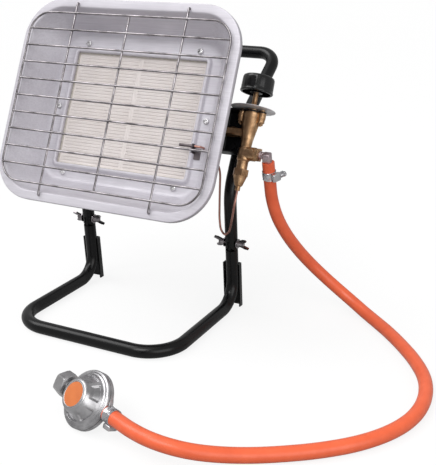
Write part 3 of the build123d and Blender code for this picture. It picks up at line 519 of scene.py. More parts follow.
class ShapeGraph(Graph):
    """A geometry graph, with the few nodes that the pieces below share."""

    def joined(self, *parts):
        return self.node("GeometryNodeJoinGeometry", {}, {"Geometry": list(parts)})

    def real(self, part):
        return self.node("GeometryNodeRealizeInstances", {}, {"Geometry": part})

    def vector(self, x=0.0, y=0.0, z=0.0):
        return self.node("ShaderNodeCombineXYZ", {}, {"X": x, "Y": y, "Z": z})

    def shape_of(self, source):
        return self.node("GeometryNodeObjectInfo", {}, {"Object": source}, output="Geometry")

    def copies(self, shape, points, **more):
        return self.node("GeometryNodeInstanceOnPoints", {}, {
            "Points": points, "Instance": shape, **more})

    def row(self, count, step, axis="x", z=0.0):
        """Points a step apart, in a row whose middle is the origin."""
        return self.node("GeometryNodeMeshLine", {}, {
            "Count": count, "Offset": self.vector(**{axis: step}),
            "Start Location": self.vector(z=z, **{axis: step * (count - 1) * -0.5})})

    def round_axis(self, shape, count, step, start=0.0):
        """Copies round z, each a step further on."""
        places = self.node("GeometryNodeMeshLine", {}, {"Count": count,
                                                        "Offset": (0.0, 0.0, 0.0)})
        turn = self.node("GeometryNodeInputIndex") * step + start
        return self.copies(shape, places, Rotation=self.vector(z=turn))


def grown(name, graph_of, slot, sizes, seed_mesh=None):
    """Mesh object made by a geometry graph; sizes are its named inputs."""
    tree = bpy.data.node_groups.new(name, "GeometryNodeTree")
    for way in ("INPUT", "OUTPUT"):
        tree.interface.new_socket("Geometry", in_out=way, socket_type="NodeSocketGeometry")
    keys = {size: tree.interface.new_socket(size, in_out="INPUT",
                                            socket_type=KINDS[type(value)]).identifier
            for size, value in sizes.items()}
    graph = ShapeGraph(tree)
    made = graph.real(graph_of(graph, graph.outputs("NodeGroupInput")))
    made = graph.node("GeometryNodeSetMaterial", {}, {
        "Geometry": made, "Material": FINISHES[slot]})
    graph.node("NodeGroupOutput", {}, {"Geometry": made}, output=None)
    carrier = linked(name + "_graph", seed_mesh or bpy.data.meshes.new(name + "_seed"))
    modifier = carrier.modifiers.new("graph", "NODES")
    modifier.node_group = tree
    for size, value in sizes.items():
        modifier[keys[size]] = value
    return as_mesh(carrier, name)


print("graph helper ready")

# %% [markdown]
# ## The wire guard
# A welded grille: a bent outer loop, nine straight wires across it, and three uprights
# behind, of which the outer two end in hooks that go through the flange. The uprights are
# drawn as edges, the rest is a rule: one line repeated at the pitch. Every line gets the
# same round section, and each crossing a small weld nugget where the wires melted together.

# %% Guard by rule
WIRE_D = 2.8
GUARD_W = 307.4
GUARD_CORNER = 30.0
GUARD_PITCH = 23.5
GUARD_ROWS = 9                    # wires between the loop's top and bottom
UPRIGHT_X = 85.4
HOOK_V = 132.5
HOOK_TAIL = 14.3
LAYER = 0.8 * WIRE_D              # the uprights lie behind, sunk a little by the weld


def guard_graph(graph, given):
    wire, pitch, width, rows = [given[size] for size in ("Wire", "Pitch", "Width", "Rows")]
    loop = graph.node("GeometryNodeCurvePrimitiveQuadrilateral", {}, {
        "Width": width, "Height": pitch * (rows + 1)})
    loop = graph.node("GeometryNodeFilletCurve", {"mode": "POLY"}, {
        "Curve": loop, "Count": 12, "Radius": given["Corner"]})
    line = graph.node("GeometryNodeCurvePrimitiveLine", {}, {
        "Start": graph.vector(width * -0.5), "End": graph.vector(width * 0.5)})
    lines = graph.real(graph.copies(line, graph.row(rows, pitch, "y")))
    uprights = graph.node("GeometryNodeMeshToCurve", {}, {"Mesh": given["Geometry"]})
    uprights = graph.node("GeometryNodeFilletCurve", {"mode": "POLY"}, {
        "Curve": uprights, "Count": 6, "Radius": wire * 0.6})
    section = graph.node("GeometryNodeCurvePrimitiveCircle", {}, {
        "Resolution": 14, "Radius": wire * 0.5})
    wires = graph.node("GeometryNodeCurveToMesh", {}, {
        "Curve": graph.joined(loop, lines, uprights), "Profile Curve": section,
        "Fill Caps": True})
    nugget = graph.node("GeometryNodeMeshIcoSphere", {}, {"Radius": wire * 0.62,
                                                          "Subdivisions": 2})
    crossings = graph.real(graph.copies(graph.row(rows + 2, pitch, "y"),
                                        graph.row(3, given["Upright"], z=wire * -0.4)))
    return graph.joined(wires, graph.copies(nugget, crossings, Scale=(1.0, 1.0, 0.85)))


reach = GUARD_PITCH * (GUARD_ROWS + 1) / 2 + WIRE_D / 2
hooked = [(-HOOK_V, -HOOK_TAIL), (-HOOK_V, -LAYER), (HOOK_V, -LAYER), (HOOK_V, -HOOK_TAIL)]
plain = [(-reach, -LAYER), (reach, -LAYER)]
upright_points, upright_edges = [], []
for x, upright in ((-UPRIGHT_X, hooked), (UPRIGHT_X, hooked), (0, plain)):
    first = len(upright_points)
    upright_points += [(x, v, z) for v, z in upright]
    upright_edges += [(first + i, first + i + 1) for i in range(len(upright) - 1)]
upright_lines = bpy.data.meshes.new("upright_lines")
upright_lines.from_pydata(upright_points, upright_edges, [])

guard = grown("guard", guard_graph, "guard_zinc", {
    "Wire": WIRE_D, "Pitch": GUARD_PITCH, "Width": GUARD_W, "Corner": GUARD_CORNER,
    "Upright": UPRIGHT_X, "Rows": GUARD_ROWS}, upright_lines)
wear(settle(guard, HEAD), "head", "guard_zinc", "wire_guard")

# %% [markdown]
# ## The pierced ceramic
# Gas and air come through hundreds of fine holes in the two ceramic tiles and burn just in
# front of them. The holes stand in rows, and every second row lies in a shallow channel, so
# the face shows fine lines; a plain margin is left where the tiles meet. One small cell with
# a pit in it is repeated by a grid, which is the cheapest way to model so many holes: the
# pits are real geometry with a few dozen faces each.

# %% Ceramic by cells
TILE_W = 101.0                    # the two tiles touch along the middle
TILE_H = 155.6
TILE_T = 13.0
TILE_DEPTH = 53.0
CELL = (2.2, 4.4)                 # one hole wide, two rows high
TILE_COUNT = (43, 34)
PIT_ROWS = ((0.68, -0.12), (0.36, 0.0))       # radius of the pits, floor of their channel
PIT_DEEP = 2.4
PIT_TAPER = 0.8
TILE_CHAMFER = 0.3
SNAP = 0.01                       # millimetres; well under any step of the pattern


def cell_mesh():
    """Two staggered pits in a patch that is channelled along x."""
    width, height = CELL
    corners = {}
    points, faces = [], []

    def point(x, v, z):
        key = (round(x, 4), round(v, 4), round(z, 4))
        if key not in corners:
            corners[key] = len(points)
            points.append(key)
        return corners[key]

    for low, (radius, floor) in zip((-height / 2, 0.0), PIT_ROWS):
        high = low + height / 2
        middle = (low + high) / 2
        rim = [(-width / 2, low), (0, low), (width / 2, low), (width / 2, middle),
               (width / 2, high), (0, high), (-width / 2, high), (-width / 2, middle)]
        angles = [radians(225 + 45 * i) for i in range(8)]
        outer = [point(x, v, 0.0 if abs(v - middle) > 0.1 else floor) for x, v in rim]
        lip = [point(radius * cos(a), middle + radius * sin(a), floor) for a in angles]
        deep = [point(PIT_TAPER * radius * cos(a), middle + PIT_TAPER * radius * sin(a),
                      -PIT_DEEP) for a in angles]
        for i in range(8):
            j = (i + 1) % 8
            faces.append((outer[i], outer[j], lip[j], lip[i]))
            faces.append((lip[i], lip[j], deep[j], deep[i]))
        faces.append(tuple(deep))
    mesh = bpy.data.meshes.new("pit_cell")
    mesh.from_pydata(points, [], faces)
    return mesh


cell = linked("pit_cell", cell_mesh())


def tile_graph(graph, given):
    grid = graph.real(graph.copies(graph.row(given["Up"], given["Cell height"], "y"),
                                   graph.row(given["Across"], given["Cell width"])))
    cells = graph.real(graph.copies(graph.shape_of(cell), grid))
    return graph.node("GeometryNodeMergeByDistance", {}, {"Geometry": cells, "Distance": SNAP})


def open_edges(edges):
    return [x for x in edges if isinstance(x, bmesh.types.BMEdge) and len(x.link_faces) == 1]


def framed(piece, centre_x):
    """Close the pierced sheet into a tile: margin, sides and back."""
    shape = bmesh.new()
    shape.from_mesh(piece.data)
    size = (TILE_W, TILE_H)
    patch = [CELL[i] * TILE_COUNT[i] / 2 - SNAP for i in range(2)]

    def pushed(edges, move):
        grown_edges = bmesh.ops.extrude_edge_only(shape, edges=edges)["geom"]
        for vertex in [x for x in grown_edges if isinstance(x, bmesh.types.BMVert)]:
            vertex.co = move(vertex.co)
        return open_edges(grown_edges)

    def to_margin(place):
        out = [place[i] if abs(place[i]) < patch[i]
               else copysign(size[i] / 2 - TILE_CHAMFER, place[i]) for i in range(2)]
        return Vector((*out, 0.0))

    def to_side(place):
        out = [place[i] * size[i] / (size[i] - 2 * TILE_CHAMFER) for i in range(2)]
        return Vector((*out, -TILE_CHAMFER))

    edges = pushed(open_edges(shape.edges), to_margin)
    edges = pushed(edges, to_side)
    edges = pushed(edges, lambda place: Vector((place.x, place.y, -TILE_T)))
    bmesh.ops.edgeloop_fill(shape, edges=edges)
    shape.to_mesh(piece.data)
    shape.free()
    return settle(piece, HEAD @ Matrix.Translation((centre_x, 0, -TILE_DEPTH)))


for side, name in ((-1, "left"), (1, "right")):
    tile = grown(name + "_pierced_tile", tile_graph, "ceramic", {
        "Cell width": CELL[0], "Cell height": CELL[1], "Across": TILE_COUNT[0],
        "Up": TILE_COUNT[1]})
    wear(framed(tile, side * TILE_W / 2), "head", "ceramic", name + "_ceramic_tile", crisp=40)
bpy.data.objects.remove(cell)

# %% [markdown]
# ## Screws in the pan
# Six cross-recessed screws hold the burner to the pan. One screw head is lofted: its first
# two rings are the cross-shaped recess, the rest round out into the dome and its rim. A
# graph puts it on six points, each turned by a random angle.

# %% Six pan screws
SCREW_PLACES = [(x, v) for x in (-87.8, 87.8) for v in (-91.7, 91.7)] + [(-116, 0), (116, 0)]
PAN_FLOOR = 50.0
SCREW_R, SCREW_UP = 4.3, 2.6      # of the head
CROSS_HALF, CROSS_REACH, CROSS_FLOOR = 0.26, 0.62, 0.1        # shares of the head


def shaped(name, shape):
    """A new object from a finished bmesh."""
    mesh = bpy.data.meshes.new(name)
    shape.to_mesh(mesh)
    shape.free()
    return linked(name, mesh)


def turned(name, profile, segments=48, ripple=None):
    """Closed shape turned round z from (radius, height) points; a radius of 0 makes a pole."""
    shape = bmesh.new()
    rings = []
    for radius, height in profile:
        if radius == 0:
            rings.append([shape.verts.new((0, 0, height))])
            continue
        ring = []
        for step in range(segments):
            angle = 2 * pi * step / segments
            reach_out = radius - (ripple(radius, height, angle) if ripple else 0)
            ring.append(shape.verts.new((reach_out * cos(angle), reach_out * sin(angle), height)))
        rings.append(ring)
    closed_rings = rings + ([rings[0]] if len(rings[0]) > 1 and len(rings[-1]) > 1 else [])
    for low, high in zip(closed_rings, closed_rings[1:]):
        for step in range(segments):
            after = (step + 1) % segments
            corners = ([low[0]] if len(low) == 1 else [low[step], low[after]]) + (
                [high[0]] if len(high) == 1 else [high[after], high[step]])
            shape.faces.new(corners)
    bmesh.ops.recalc_face_normals(shape, faces=shape.faces)
    return shaped(name, shape)


def capped(piece):
    """Fill a lofted piece's open ends."""
    shape = bmesh.new()
    shape.from_mesh(piece.data)
    bmesh.ops.holes_fill(shape, edges=open_edges(shape.edges))
    bmesh.ops.recalc_face_normals(shape, faces=shape.faces)
    shape.to_mesh(piece.data)
    shape.free()
    return piece


def screw_head(radius, height):
    """Domed head with a cross-shaped recess."""
    half, reach_out = CROSS_HALF * radius, CROSS_REACH * radius
    cross = [(half, half), (half, reach_out), (-half, reach_out), (-half, half),
             (-reach_out, half), (-reach_out, -half), (-half, -half), (-half, -reach_out),
             (half, -reach_out), (half, -half), (reach_out, -half), (reach_out, half)]
    angles = [radians((45 + 30 * i) % 360) for i in range(12)]
    rings = [[(x, v, height * rise) for x, v in cross] for rise in (CROSS_FLOOR, 1)]
    for share, rise in ((0.72, 0.97), (0.88, 0.84), (0.97, 0.6), (1.0, 0.3), (1.0, 0.0)):
        rings.append([(radius * share * cos(a), radius * share * sin(a), height * rise)
                      for a in angles])
    return capped(lofted("screw_head", rings))


head_cell = screw_head(SCREW_R, SCREW_UP)


def screws_graph(graph, given):
    turn = graph.node("FunctionNodeRandomValue", {"data_type": "FLOAT"}, {
        2: 0.0, 3: 3.1, "Seed": 4}, output=1)
    return graph.copies(graph.shape_of(head_cell), given["Geometry"],
                        Rotation=graph.vector(z=turn),
                        Scale=graph.vector(given["Size"], given["Size"], given["Size"]))


screw_points = bpy.data.meshes.new("screw_points")
screw_points.from_pydata([(x, v, -PAN_FLOOR) for x, v in SCREW_PLACES], [], [])
screws = grown("recessed_screws", screws_graph, "fastener_zinc", {"Size": 1.0}, screw_points)
wear(settle(screws, HEAD), "head", "fastener_zinc", "pan_screws", crisp=40)
bpy.data.objects.remove(head_cell)

# %% [markdown]
# ## The control knob
# A satin moulded cup, open below, with shallow flutes to grip. It is turned round the
# valve's axis: the same profile all the way, drawn in a little at every flute. The pointer
# is a low rib on the top.

# %% Knob and pointer
VALVE_X = 148.4
VALVE_DEPTH = 114.5
KNOB_V = 59.0
FLUTES = 24
FLUTE_DEEP = 0.1
FLUTE_LOW, FLUTE_HIGH = 2.6, 22.0
GRIP_R = 20.0                     # the flutes are outside this radius
VALVE = HEAD @ Matrix.Translation((VALVE_X, 0, -VALVE_DEPTH)) @ Matrix.Rotation(-pi / 2, 4, "X")
KNOB = VALVE @ Matrix.Translation((0, 0, KNOB_V))
KNOB_PROFILE = [                  # from the hollow's middle, out and over, to the top's middle
    (0, 12.8), (3.6, 12.8), (3.6, 0.0), (8.1, 0.0), (8.5, 0.4), (8.5, 17.0), (18.9, 17.0),
    (19.5, 16.4), (19.5, 0.0), (19.2, 0.0), (21.4, 0.0), (22.1, 0.3), (22.5, 1.1), (22.5, 1.9),
    (22.1, 2.5), (21.9, 3.0), (21.9, 6.0), (21.8, 12.0), (21.7, 18.0), (21.4, 20.2),
    (20.6, 21.8), (19.2, 22.7), (17.4, 23.0), (14.0, 22.7), (8.0, 22.6), (0, 22.6),
]


def flute(radius, height, angle):
    """Depth of the grip at this place of the side."""
    if not FLUTE_LOW < height < FLUTE_HIGH or radius < GRIP_R:
        return 0.0
    fade = min(1.0, (height - FLUTE_LOW) / 2.0, (FLUTE_HIGH - height) / 3.0)
    return FLUTE_DEEP * fade * (0.5 - 0.5 * cos(FLUTES * angle)) ** 2


def rounded_block(name, size, centre, bevel, segments=3):
    """A block with rounded edges."""
    shape = bmesh.new()
    bmesh.ops.create_cube(shape, size=1.0, matrix=Matrix.Translation(centre)
                          @ Matrix.Diagonal((*size, 1)))
    bmesh.ops.bevel(shape, geom=list(shape.edges), offset=bevel, segments=segments,
                    profile=0.5, affect="EDGES")
    return shaped(name, shape)


knob = turned("fluted_knob", KNOB_PROFILE, 192, flute)
wear(settle(knob, KNOB), "knob", "knob_black", "control_knob", crisp=35)
pointer = rounded_block("knob_pointer", (1.8, 15.0, 0.5), (0, 11.5, 22.7), 0.2)
wear(settle(pointer, KNOB), "knob", "dial_grey")

# %% [markdown]
# ## The dial plate
# A pressed disc under the knob with a rolled rim, and a row of raised ticks for the
# settings. The ticks are one small bar, turned to nine places by a graph.

# %% Dial with ticks
DIAL_R = 30.75
DIAL = VALVE @ Matrix.Translation((0, 0, 36.0))
TICKS = 9
TICK_STEP = radians(25.0)
dial = turned("pressed_dial", [
    (6.3, 0.0), (DIAL_R - 1.4, 0.0), (DIAL_R - 0.5, 0.1), (DIAL_R, 0.5), (DIAL_R - 0.15, 0.9),
    (DIAL_R - 0.6, 1.0), (DIAL_R - 1.4, 1.0), (DIAL_R - 2.4, 0.75), (22.0, 0.75), (20.5, 1.0),
    (6.3, 1.0)], 96)
wear(settle(dial, DIAL), "head", "dial_grey", "dial_plate", crisp=40)
tick_bar = rounded_block("tick_bar", (0.9, 3.6, 0.3), (0, 25.4, 0.8), 0.1, 1)


def ticks_graph(graph, given):
    return graph.round_axis(graph.shape_of(tick_bar), given["Count"], given["Step"])


ticks = grown("dial_ticks", ticks_graph, "knob_black", {"Count": TICKS, "Step": TICK_STEP})
wear(settle(ticks, DIAL), "head", "knob_black")
bpy.data.objects.remove(tick_bar)

# %% [markdown]
# ## The regulator's rim and badge ring
# The die-cast cap is crimped on the body: its edge shows two fine steps and a rolled bead.
# A light ring holds the round badge. Both are turned.

# %% Turned rings on the regulator
REG_R = 34.0
REG_BACK = 9.0                    # the body's rim, this far behind, rests on the floor
REG_UP = radians(39.0)
REG_TURN = radians(22.0)
REG_NORMAL = Vector((-sin(REG_TURN) * cos(REG_UP), -cos(REG_TURN) * cos(REG_UP), sin(REG_UP)))
REG_AXIS = Vector((-cos(REG_TURN), sin(REG_TURN), 0))
REGULATOR = built_at((114.5, -160.7, REG_R * cos(REG_UP) + REG_BACK * sin(REG_UP)), Matrix(
    (REG_AXIS, REG_NORMAL.cross(REG_AXIS), REG_NORMAL)).transposed())
BEAD_SIDES = 12


def bead(name, radius, height, flat=1.0, thick=0.7):
    """Rolled bead on the regulator: a round section, or a flattened one, turned."""
    angles = [2 * pi * i / BEAD_SIDES for i in range(BEAD_SIDES)]
    made = turned(name, [(radius + thick * cos(a), height + flat * thick * sin(a))
                         for a in angles], 96)
    wear(settle(made, REGULATOR), "base", "regulator_zinc")


bead("body_crimp_bead", REG_R - 0.75, -5.2)
bead("badge_ring", 14.6, 19.05, flat=0.7)

# %% [markdown]
# ## The regulator's cap
# The cap is cast: a cone with soft pockets between ribs, one rib wider than the others, and
# rolled steps towards the rim. It is turned from a profile, and the cone's points are then
# pressed in where a pocket is. Both edges of a pocket fade smoothly, as cast edges do.

# %% Cap with pockets
CONE_STEPS = 22
CAP_PROFILE = [
    (0, -4.0), (REG_R - 1.0, -4.0), (REG_R, -3.6), (REG_R, -1.2), (REG_R - 0.5, -0.3),
    (REG_R - 1.3, 0.05), (REG_R - 2.2, 0.0), (REG_R - 2.7, 0.15), (REG_R - 3.1, 0.7),
    (REG_R - 3.5, 1.35), (REG_R - 4.3, 1.7), (REG_R - 5.0, 1.8), (REG_R - 5.6, 2.3),
    *[(28.0 - 8.6 * i / CONE_STEPS, 2.9 + 12.6 * i / CONE_STEPS)
      for i in range(CONE_STEPS + 1)],
    (19.0, 16.6), (18.3, 17.8), (17.4, 18.5), (16.4, 18.9), (15.6, 19.0), (14.6, 18.9),
    (14.5, 18.3), (0, 18.3),
]
RIBS = ((0, 4.6), (60, 2.0), (120, 2.0))      # turn in degrees, half of the width
POCKET_DEEP = 3.6
POCKET_IN, POCKET_OUT = 19.6, 27.0            # radii where the pockets begin and end
POCKET_FADE = 1.8
CONE_FOOT = 2.5                   # only points above this height are pressed in


def smooth_step(value, low, high):
    share = min(1.0, max(0.0, (value - low) / (high - low)))
    return share * share * (3 - 2 * share)


def pocket(x, y):
    """How deep the cap is pressed in at this place."""
    radius = hypot(x, y)
    deep = smooth_step(radius, POCKET_IN, POCKET_IN + POCKET_FADE) * (
        1 - smooth_step(radius, POCKET_OUT - POCKET_FADE, POCKET_OUT))
    for turn, half_width in RIBS:
        aside = abs(x * sin(radians(turn)) - y * cos(radians(turn)))
        deep *= smooth_step(aside, half_width, half_width + POCKET_FADE)
    return POCKET_DEEP * deep


cap = turned("cast_cap", CAP_PROFILE, 216)
for vertex in cap.data.vertices:
    if vertex.co.z > CONE_FOOT:
        vertex.co.z -= pocket(vertex.co.x, vertex.co.y)
wear(settle(cap, REGULATOR), "base", "regulator_zinc", "regulator_cap", crisp=50)

# %% [markdown]
# ## The union nut
# The nut that joins the regulator to a gas bottle is a chamfered hexagon with a thread
# inside, made left-handed on real fittings. The hexagon's flats are cut from a turned blank:
# each ring's radius is held to the flats, which leaves the round chamfers at both ends.

# %% Hexagon nut
NUT_AF = 27.0
NUT_LEN = 16.0
NUT_START = 39.0
NUT_TURN = radians(22.0)
THREAD_R = 10.5
THREAD_DEEP, THREAD_STEP = 0.5, 0.6
PORT_DROP = -7.0
NUT = REGULATOR @ Matrix.Translation((NUT_START, 0, PORT_DROP)) @ Matrix.Rotation(pi / 2, 4, "Y")


def past_flats(radius, across_flats, angle):
    """How far a round blank stands past a hexagon's flats."""
    return max(0.0, radius - across_flats / 2 / cos(angle % (pi / 3) - pi / 6))


def hexagon_cut(radius, height, angle):
    """What the flats take away from the turned blank; the thread stays round."""
    if radius <= NUT_AF / 2 - 1.5:
        return 0.0
    return past_flats(radius, NUT_AF, angle - NUT_TURN)


nut_profile = [(7.0, 0.4), (NUT_AF / 2 - 1.6, 0.0), (NUT_AF / 2 - 0.4, 0.1), (14.6, 0.9),
               (15.6, 1.8), (15.65, 2.6), (15.65, 8.0), (15.65, NUT_LEN - 2.6),
               (15.6, NUT_LEN - 1.8), (14.6, NUT_LEN - 0.9), (NUT_AF / 2 - 0.4, NUT_LEN - 0.1),
               (NUT_AF / 2 - 1.6, NUT_LEN)]
THREADS = [(THREAD_R + (THREAD_DEEP if i % 2 else 0.0), NUT_LEN - 0.8 - THREAD_STEP * i)
           for i in range(13)]
nut = turned("hexagon_union_nut", nut_profile + THREADS + [(10.0, 8.0), (10.0, 4.4), (6.7, 4.2)],
             144, hexagon_cut)
wear(settle(nut, NUT), "union_nut", "nut_zinc", "union_nut", crisp=24)

# %% [markdown]
# ## Worm-drive clamps
# A stainless band with slanted slots that a worm screw drives. The slots are what tells a
# hose clamp from a plain ring: one thin ridge, slanted, goes round the band by rule.

# %% Clamps
HOSE_R = 8.5
BAND_W = 12.0
WORM_OUT = 3.8                    # axis of the worm above the band's inside
WORM_AF = 6.5
EXIT = Vector((182.3, 177.7, 230.3))          # where the hose leaves the elbow
SWIVEL = Matrix.Rotation(radians(14.0), 3, "X")
UPPER_CLAMP = built_at(EXIT + SWIVEL @ Vector((0, 0, -24.6)), SWIVEL)
LOWER_CLAMP = REGULATOR @ Matrix.Translation((-36.5, 0, PORT_DROP)) @ Matrix.Rotation(
    -pi / 2, 4, "Y")


def band_graph(graph, given):
    """Thin slanted ridges round the band, between the slots."""
    ridge = graph.node("GeometryNodeMeshCube", {}, {"Size": (0.36, 0.9, 6.4)})
    ridge = graph.node("GeometryNodeTransform", {}, {
        "Geometry": ridge, "Rotation": (0.22, 0.0, 0.0),
        "Translation": graph.vector(given["Radius"], 0.0, given["Middle"])})
    return graph.round_axis(ridge, given["Count"], given["Step"], given["From"])


def merged(name, parts):
    """Several meshes as one object."""
    shape = bmesh.new()
    for part in parts:
        shape.from_mesh(part.data)
        bpy.data.objects.remove(part)
    return shaped(name, shape)


def worm_flats(radius, height, angle):
    """The flats of the worm screw's head, above its collar."""
    return past_flats(radius, WORM_AF, angle) if height > 5.6 else 0.0


def worm_clamp(where, place, body):
    """Band, ridges and worm housing as one piece, the worm screw as another."""
    band = turned("band", [(HOSE_R - 0.1, 0.1), (HOSE_R + 0.75, 0.0), (HOSE_R + 1.05, 0.35),
                           (HOSE_R + 0.8, 0.9), (HOSE_R + 0.8, BAND_W - 0.9),
                           (HOSE_R + 1.05, BAND_W - 0.35), (HOSE_R + 0.75, BAND_W),
                           (HOSE_R - 0.1, BAND_W - 0.1)], 72)
    ridges = grown("ridges", band_graph, "clamp_steel", {
        "Radius": HOSE_R + 0.9, "Middle": BAND_W / 2, "Step": radians(11.0),
        "From": radians(44.0), "Count": 25})
    housing = rounded_block("housing", (6.6, 13.0, BAND_W - 0.4),
                            (HOSE_R + WORM_OUT, 2.0, BAND_W / 2), 1.9, 4)
    tail = rounded_block("tail", (0.9, 7.5, BAND_W - 2.4), (HOSE_R + 2.6, 11.0, BAND_W / 2),
                         0.3, 2)
    piece = merged(where + "_worm_clamp", [band, ridges, housing, tail])
    wear(settle(piece, place), body, "clamp_steel", where + "_hose_clamp", crisp=35)
    screw = turned(where + "_worm_screw", [
        (0, 0.2), (2.4, 0.2), (2.6, 0.6), (2.6, 5.0), (3.4, 5.3), (3.75, 5.8), (3.75, 8.2),
        (3.2, 8.9), (1.9, 9.0), (1.5, 8.2), (0, 8.2)], 48, worm_flats)
    settle(screw, place @ Matrix.Translation((HOSE_R + WORM_OUT, 8.4, BAND_W / 2))
           @ Matrix.Rotation(-pi / 2, 4, "X"))
    wear(screw, body, "clamp_steel", where + "_clamp_screw", crisp=30)


for where, place, body, turn in (("upper", UPPER_CLAMP, "head", -30),
                                 ("lower", LOWER_CLAMP, "base", 108)):
    worm_clamp(where, place @ Matrix.Rotation(radians(turn), 4, "Z"), body)

# %% [markdown]
# ## Hook channels
# Behind each upright of the stand a short folded channel is welded on. It is a bent sheet:
# the section is drawn once as a line with two rounded folds, thickened, and drawn out along
# the leaning upright.

# %% Folded channels
UPRIGHT_LEAN = radians(4.5)
PIVOT = (122.3, 190.9, 102.3)
CHANNEL_HALF = 13.0
CHANNEL_FRONT = 1.0
CHANNEL_BACK = 11.4
CHANNEL_SHEET = 2.0
CHANNEL_LOW, CHANNEL_TOP = 1.0, 69.0
CHANNEL_ASIDE = -2.5              # both channels sit a little left of their tube
CHANNEL_BEND = 3.2
CHANNEL_CHAMFER = 0.3
FOLD_STEPS = 5


def channel_line(inset):
    """Section of the channel, this far in from its outside."""
    half, back, bend = CHANNEL_HALF - inset, CHANNEL_BACK - inset, CHANNEL_BEND - inset
    points = [(-half, CHANNEL_FRONT)]
    for side, start in ((-1, pi), (1, pi / 2)):
        for step in range(FOLD_STEPS + 1):
            angle = start - step / FOLD_STEPS * pi / 2
            points.append((side * (half - bend) + bend * cos(angle),
                           back - bend + bend * sin(angle)))
    return points + [(half, CHANNEL_FRONT)]


section = channel_line(0.0) + channel_line(CHANNEL_SHEET)[::-1]
for side, name in ((1, "right"), (-1, "left")):
    middle = side * PIVOT[0] + CHANNEL_ASIDE
    rings = []
    for height in (CHANNEL_LOW, CHANNEL_LOW + CHANNEL_CHAMFER, CHANNEL_TOP - CHANNEL_CHAMFER,
                   CHANNEL_TOP):
        foot = PIVOT[1] - (height - PIVOT[2]) * sin(UPRIGHT_LEAN) / cos(UPRIGHT_LEAN)
        shrink = CHANNEL_CHAMFER / 2 if height in (CHANNEL_LOW, CHANNEL_TOP) else 0.0
        rings.append([(middle + x * (1 - shrink / CHANNEL_HALF), foot + y - shrink / 2, height)
                      for x, y in section])
    channel = capped(lofted(name + "_folded_channel", rings))
    wear(settle(channel, Matrix.Scale(MM, 4)), "base", "frame_black", name + "_hook_channel",
         crisp=40)

# %% [markdown]
# ## Swivel elbow
# The hose leaves the valve through a small cast elbow: a block with rounded edges where the
# two bores meet, a neck held by the port's nut, and a ribbed spigot that the hose is pushed
# over. The ribs point backwards, so the hose goes on easily and does not come off.

# %% Elbow, neck and spigot
ELBOW = built_at((182.3, 175.47, 239.23), SWIVEL)             # where its two bores meet
NECK_LONG = 17.9
RIBS_ON_SPIGOT = 6
RIB_STEP = 3.4

block = rounded_block("block", (10.8, 10.8, 12.6), (-1.2, 0, -2.3), 1.6)
neck = turned("neck", [(0, 0), (4.5, 0), (4.5, 6.3), (5.6, 6.6), (5.6, 8.0), (4.8, 8.6),
                       (4.8, NECK_LONG - 5), (0, NECK_LONG - 5)], 32)
neck.data.transform(Matrix.Translation((-NECK_LONG, 0, 0)) @ Matrix.Rotation(pi / 2, 4, "Y"))
spigot_profile = [(0, -34.0), (3.6, -34.0)]
for rib in range(RIBS_ON_SPIGOT):
    spigot_profile += [(4.35, -30.0 + RIB_STEP * rib), (3.9, -29.6 + RIB_STEP * rib)]
spigot_profile += [(4.3, -9.4), (5.2, -9.0), (5.2, -7.0), (0, -7.0)]
elbow = merged("cast_elbow", [block, neck, turned("spigot", spigot_profile, 32)])
wear(settle(elbow, ELBOW, closed=False), "head", "elbow_nickel", "hose_elbow", crisp=50)

# %% [markdown]
# ## The hose's finish
# The hose takes the orange rubber, and its place is baked into its points.

hose.data.materials.clear()
hose.data.materials.append(FINISHES["hose_orange"])
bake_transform(hose)

# %% [markdown]
# ## Studio
# A plain pale floor reaches far behind the heater. Seen by the camera, or in metal, it is
# mostly a white light of its own, so the picture's ground is white without more light on
# the heater; the rest of it is an ordinary matt floor, which keeps the soft shadow. The
# world lights the heater from all around, and four soft lamps give it form: a wide sun in
# front, a second sun from the upper left whose streak runs along wires and tubes, a large
# panel on the right that fills the shaded sides, and a box above for the tops.

# %% Floor, world and lamps
FLOOR_HALF = 12.0
FLOOR_DROP = 0.0004               # keeps the floor clear of what stands on it
OWN_LIGHT = 0.85                  # share of the floor seen as light
IN_METAL = 0.15                   # share of that white that gloss and metal mirror
WORLD_LIGHT = 0.42
WHITE = (1, 1, 1, 1)

floor_mesh = bpy.data.meshes.new("studio_floor")
floor_mesh.from_pydata([(x * FLOOR_HALF, y * FLOOR_HALF, -FLOOR_DROP)
                        for x, y in ((-1, -1), (1, -1), (1, 1), (-1, 1))], [], [(0, 1, 2, 3)])
floor = linked("studio_floor", floor_mesh)

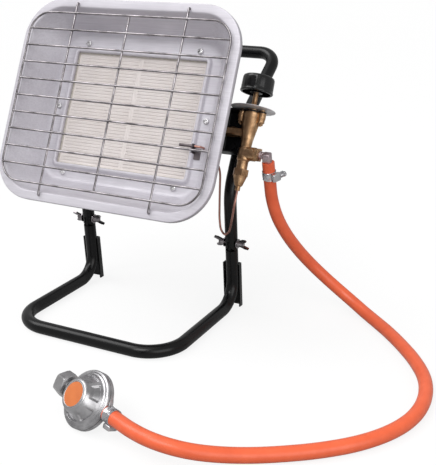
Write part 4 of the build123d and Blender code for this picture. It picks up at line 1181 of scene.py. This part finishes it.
paper = Finish("studio_floor_paper", roughness=0.9, specular_ior_level=0.0)
seen = paper.seen_directly(IN_METAL)
paper.plug(paper.mix(seen, (150, 150, 150), (252, 252, 252)), paper.shader.inputs["Base Color"])
glow = paper.node("ShaderNodeEmission", {}, {"Color": WHITE, "Strength": 1.0})
both = paper.node("ShaderNodeMixShader", {}, {
    0: OWN_LIGHT * seen, 1: Value(paper, paper.shader.outputs[0]), 2: glow})
paper.plug(both, paper.tree.nodes["Material Output"].inputs["Surface"])
floor_mesh.materials.append(paper.material)

world = bpy.data.worlds.new("studio_world")
world.use_nodes = True
world.node_tree.nodes.clear()
sky = Graph(world.node_tree)
seen = sky.seen_directly(IN_METAL)
light = sky.node("ShaderNodeBackground", {}, {
    "Color": WHITE, "Strength": seen + (1 - seen) * WORLD_LIGHT})
sky.node("ShaderNodeOutputWorld", {}, {"Surface": light}, output=None)
bpy.context.scene.world = world


def lamp(name, kind, place, aim, strength, **settings):
    """A lamp at a place, aimed at a point; strength in W, or in W/m2 for a sun."""
    data = bpy.data.lights.new(name, kind)
    data.energy = strength
    for setting, value in settings.items():
        setattr(data, setting, value)
    made = linked(name, data)
    made.location = place
    made.rotation_mode = "QUATERNION"
    made.rotation_quaternion = (Vector(aim) - Vector(place)).to_track_quat("-Z", "Y")


lamp("main_soft_light", "SUN", (-0.08, -0.64, 0.765), (0, 0, 0), 1.2, angle=radians(30))
lamp("streak_light", "SUN", (-0.6, -0.2, 0.77), (0, 0, 0), 1.15, angle=radians(36))
lamp("side_fill", "AREA", (1.7, -1.0, 0.7), (0.2, 0.0, 0.15), 13.5, shape="RECTANGLE",
     size=1.7, size_y=1.4)
lamp("top_soft_box", "AREA", (-0.15, -0.1, 1.5), (0.05, 0.05, 0.2), 2.2, shape="RECTANGLE",
     size=1.3, size_y=0.8)
bpy.context.scene.view_settings.view_transform = "Standard"

# %% [markdown]
# ## The end
# The scene is brought up to date.

# %% Finish
bpy.context.view_layer.update()
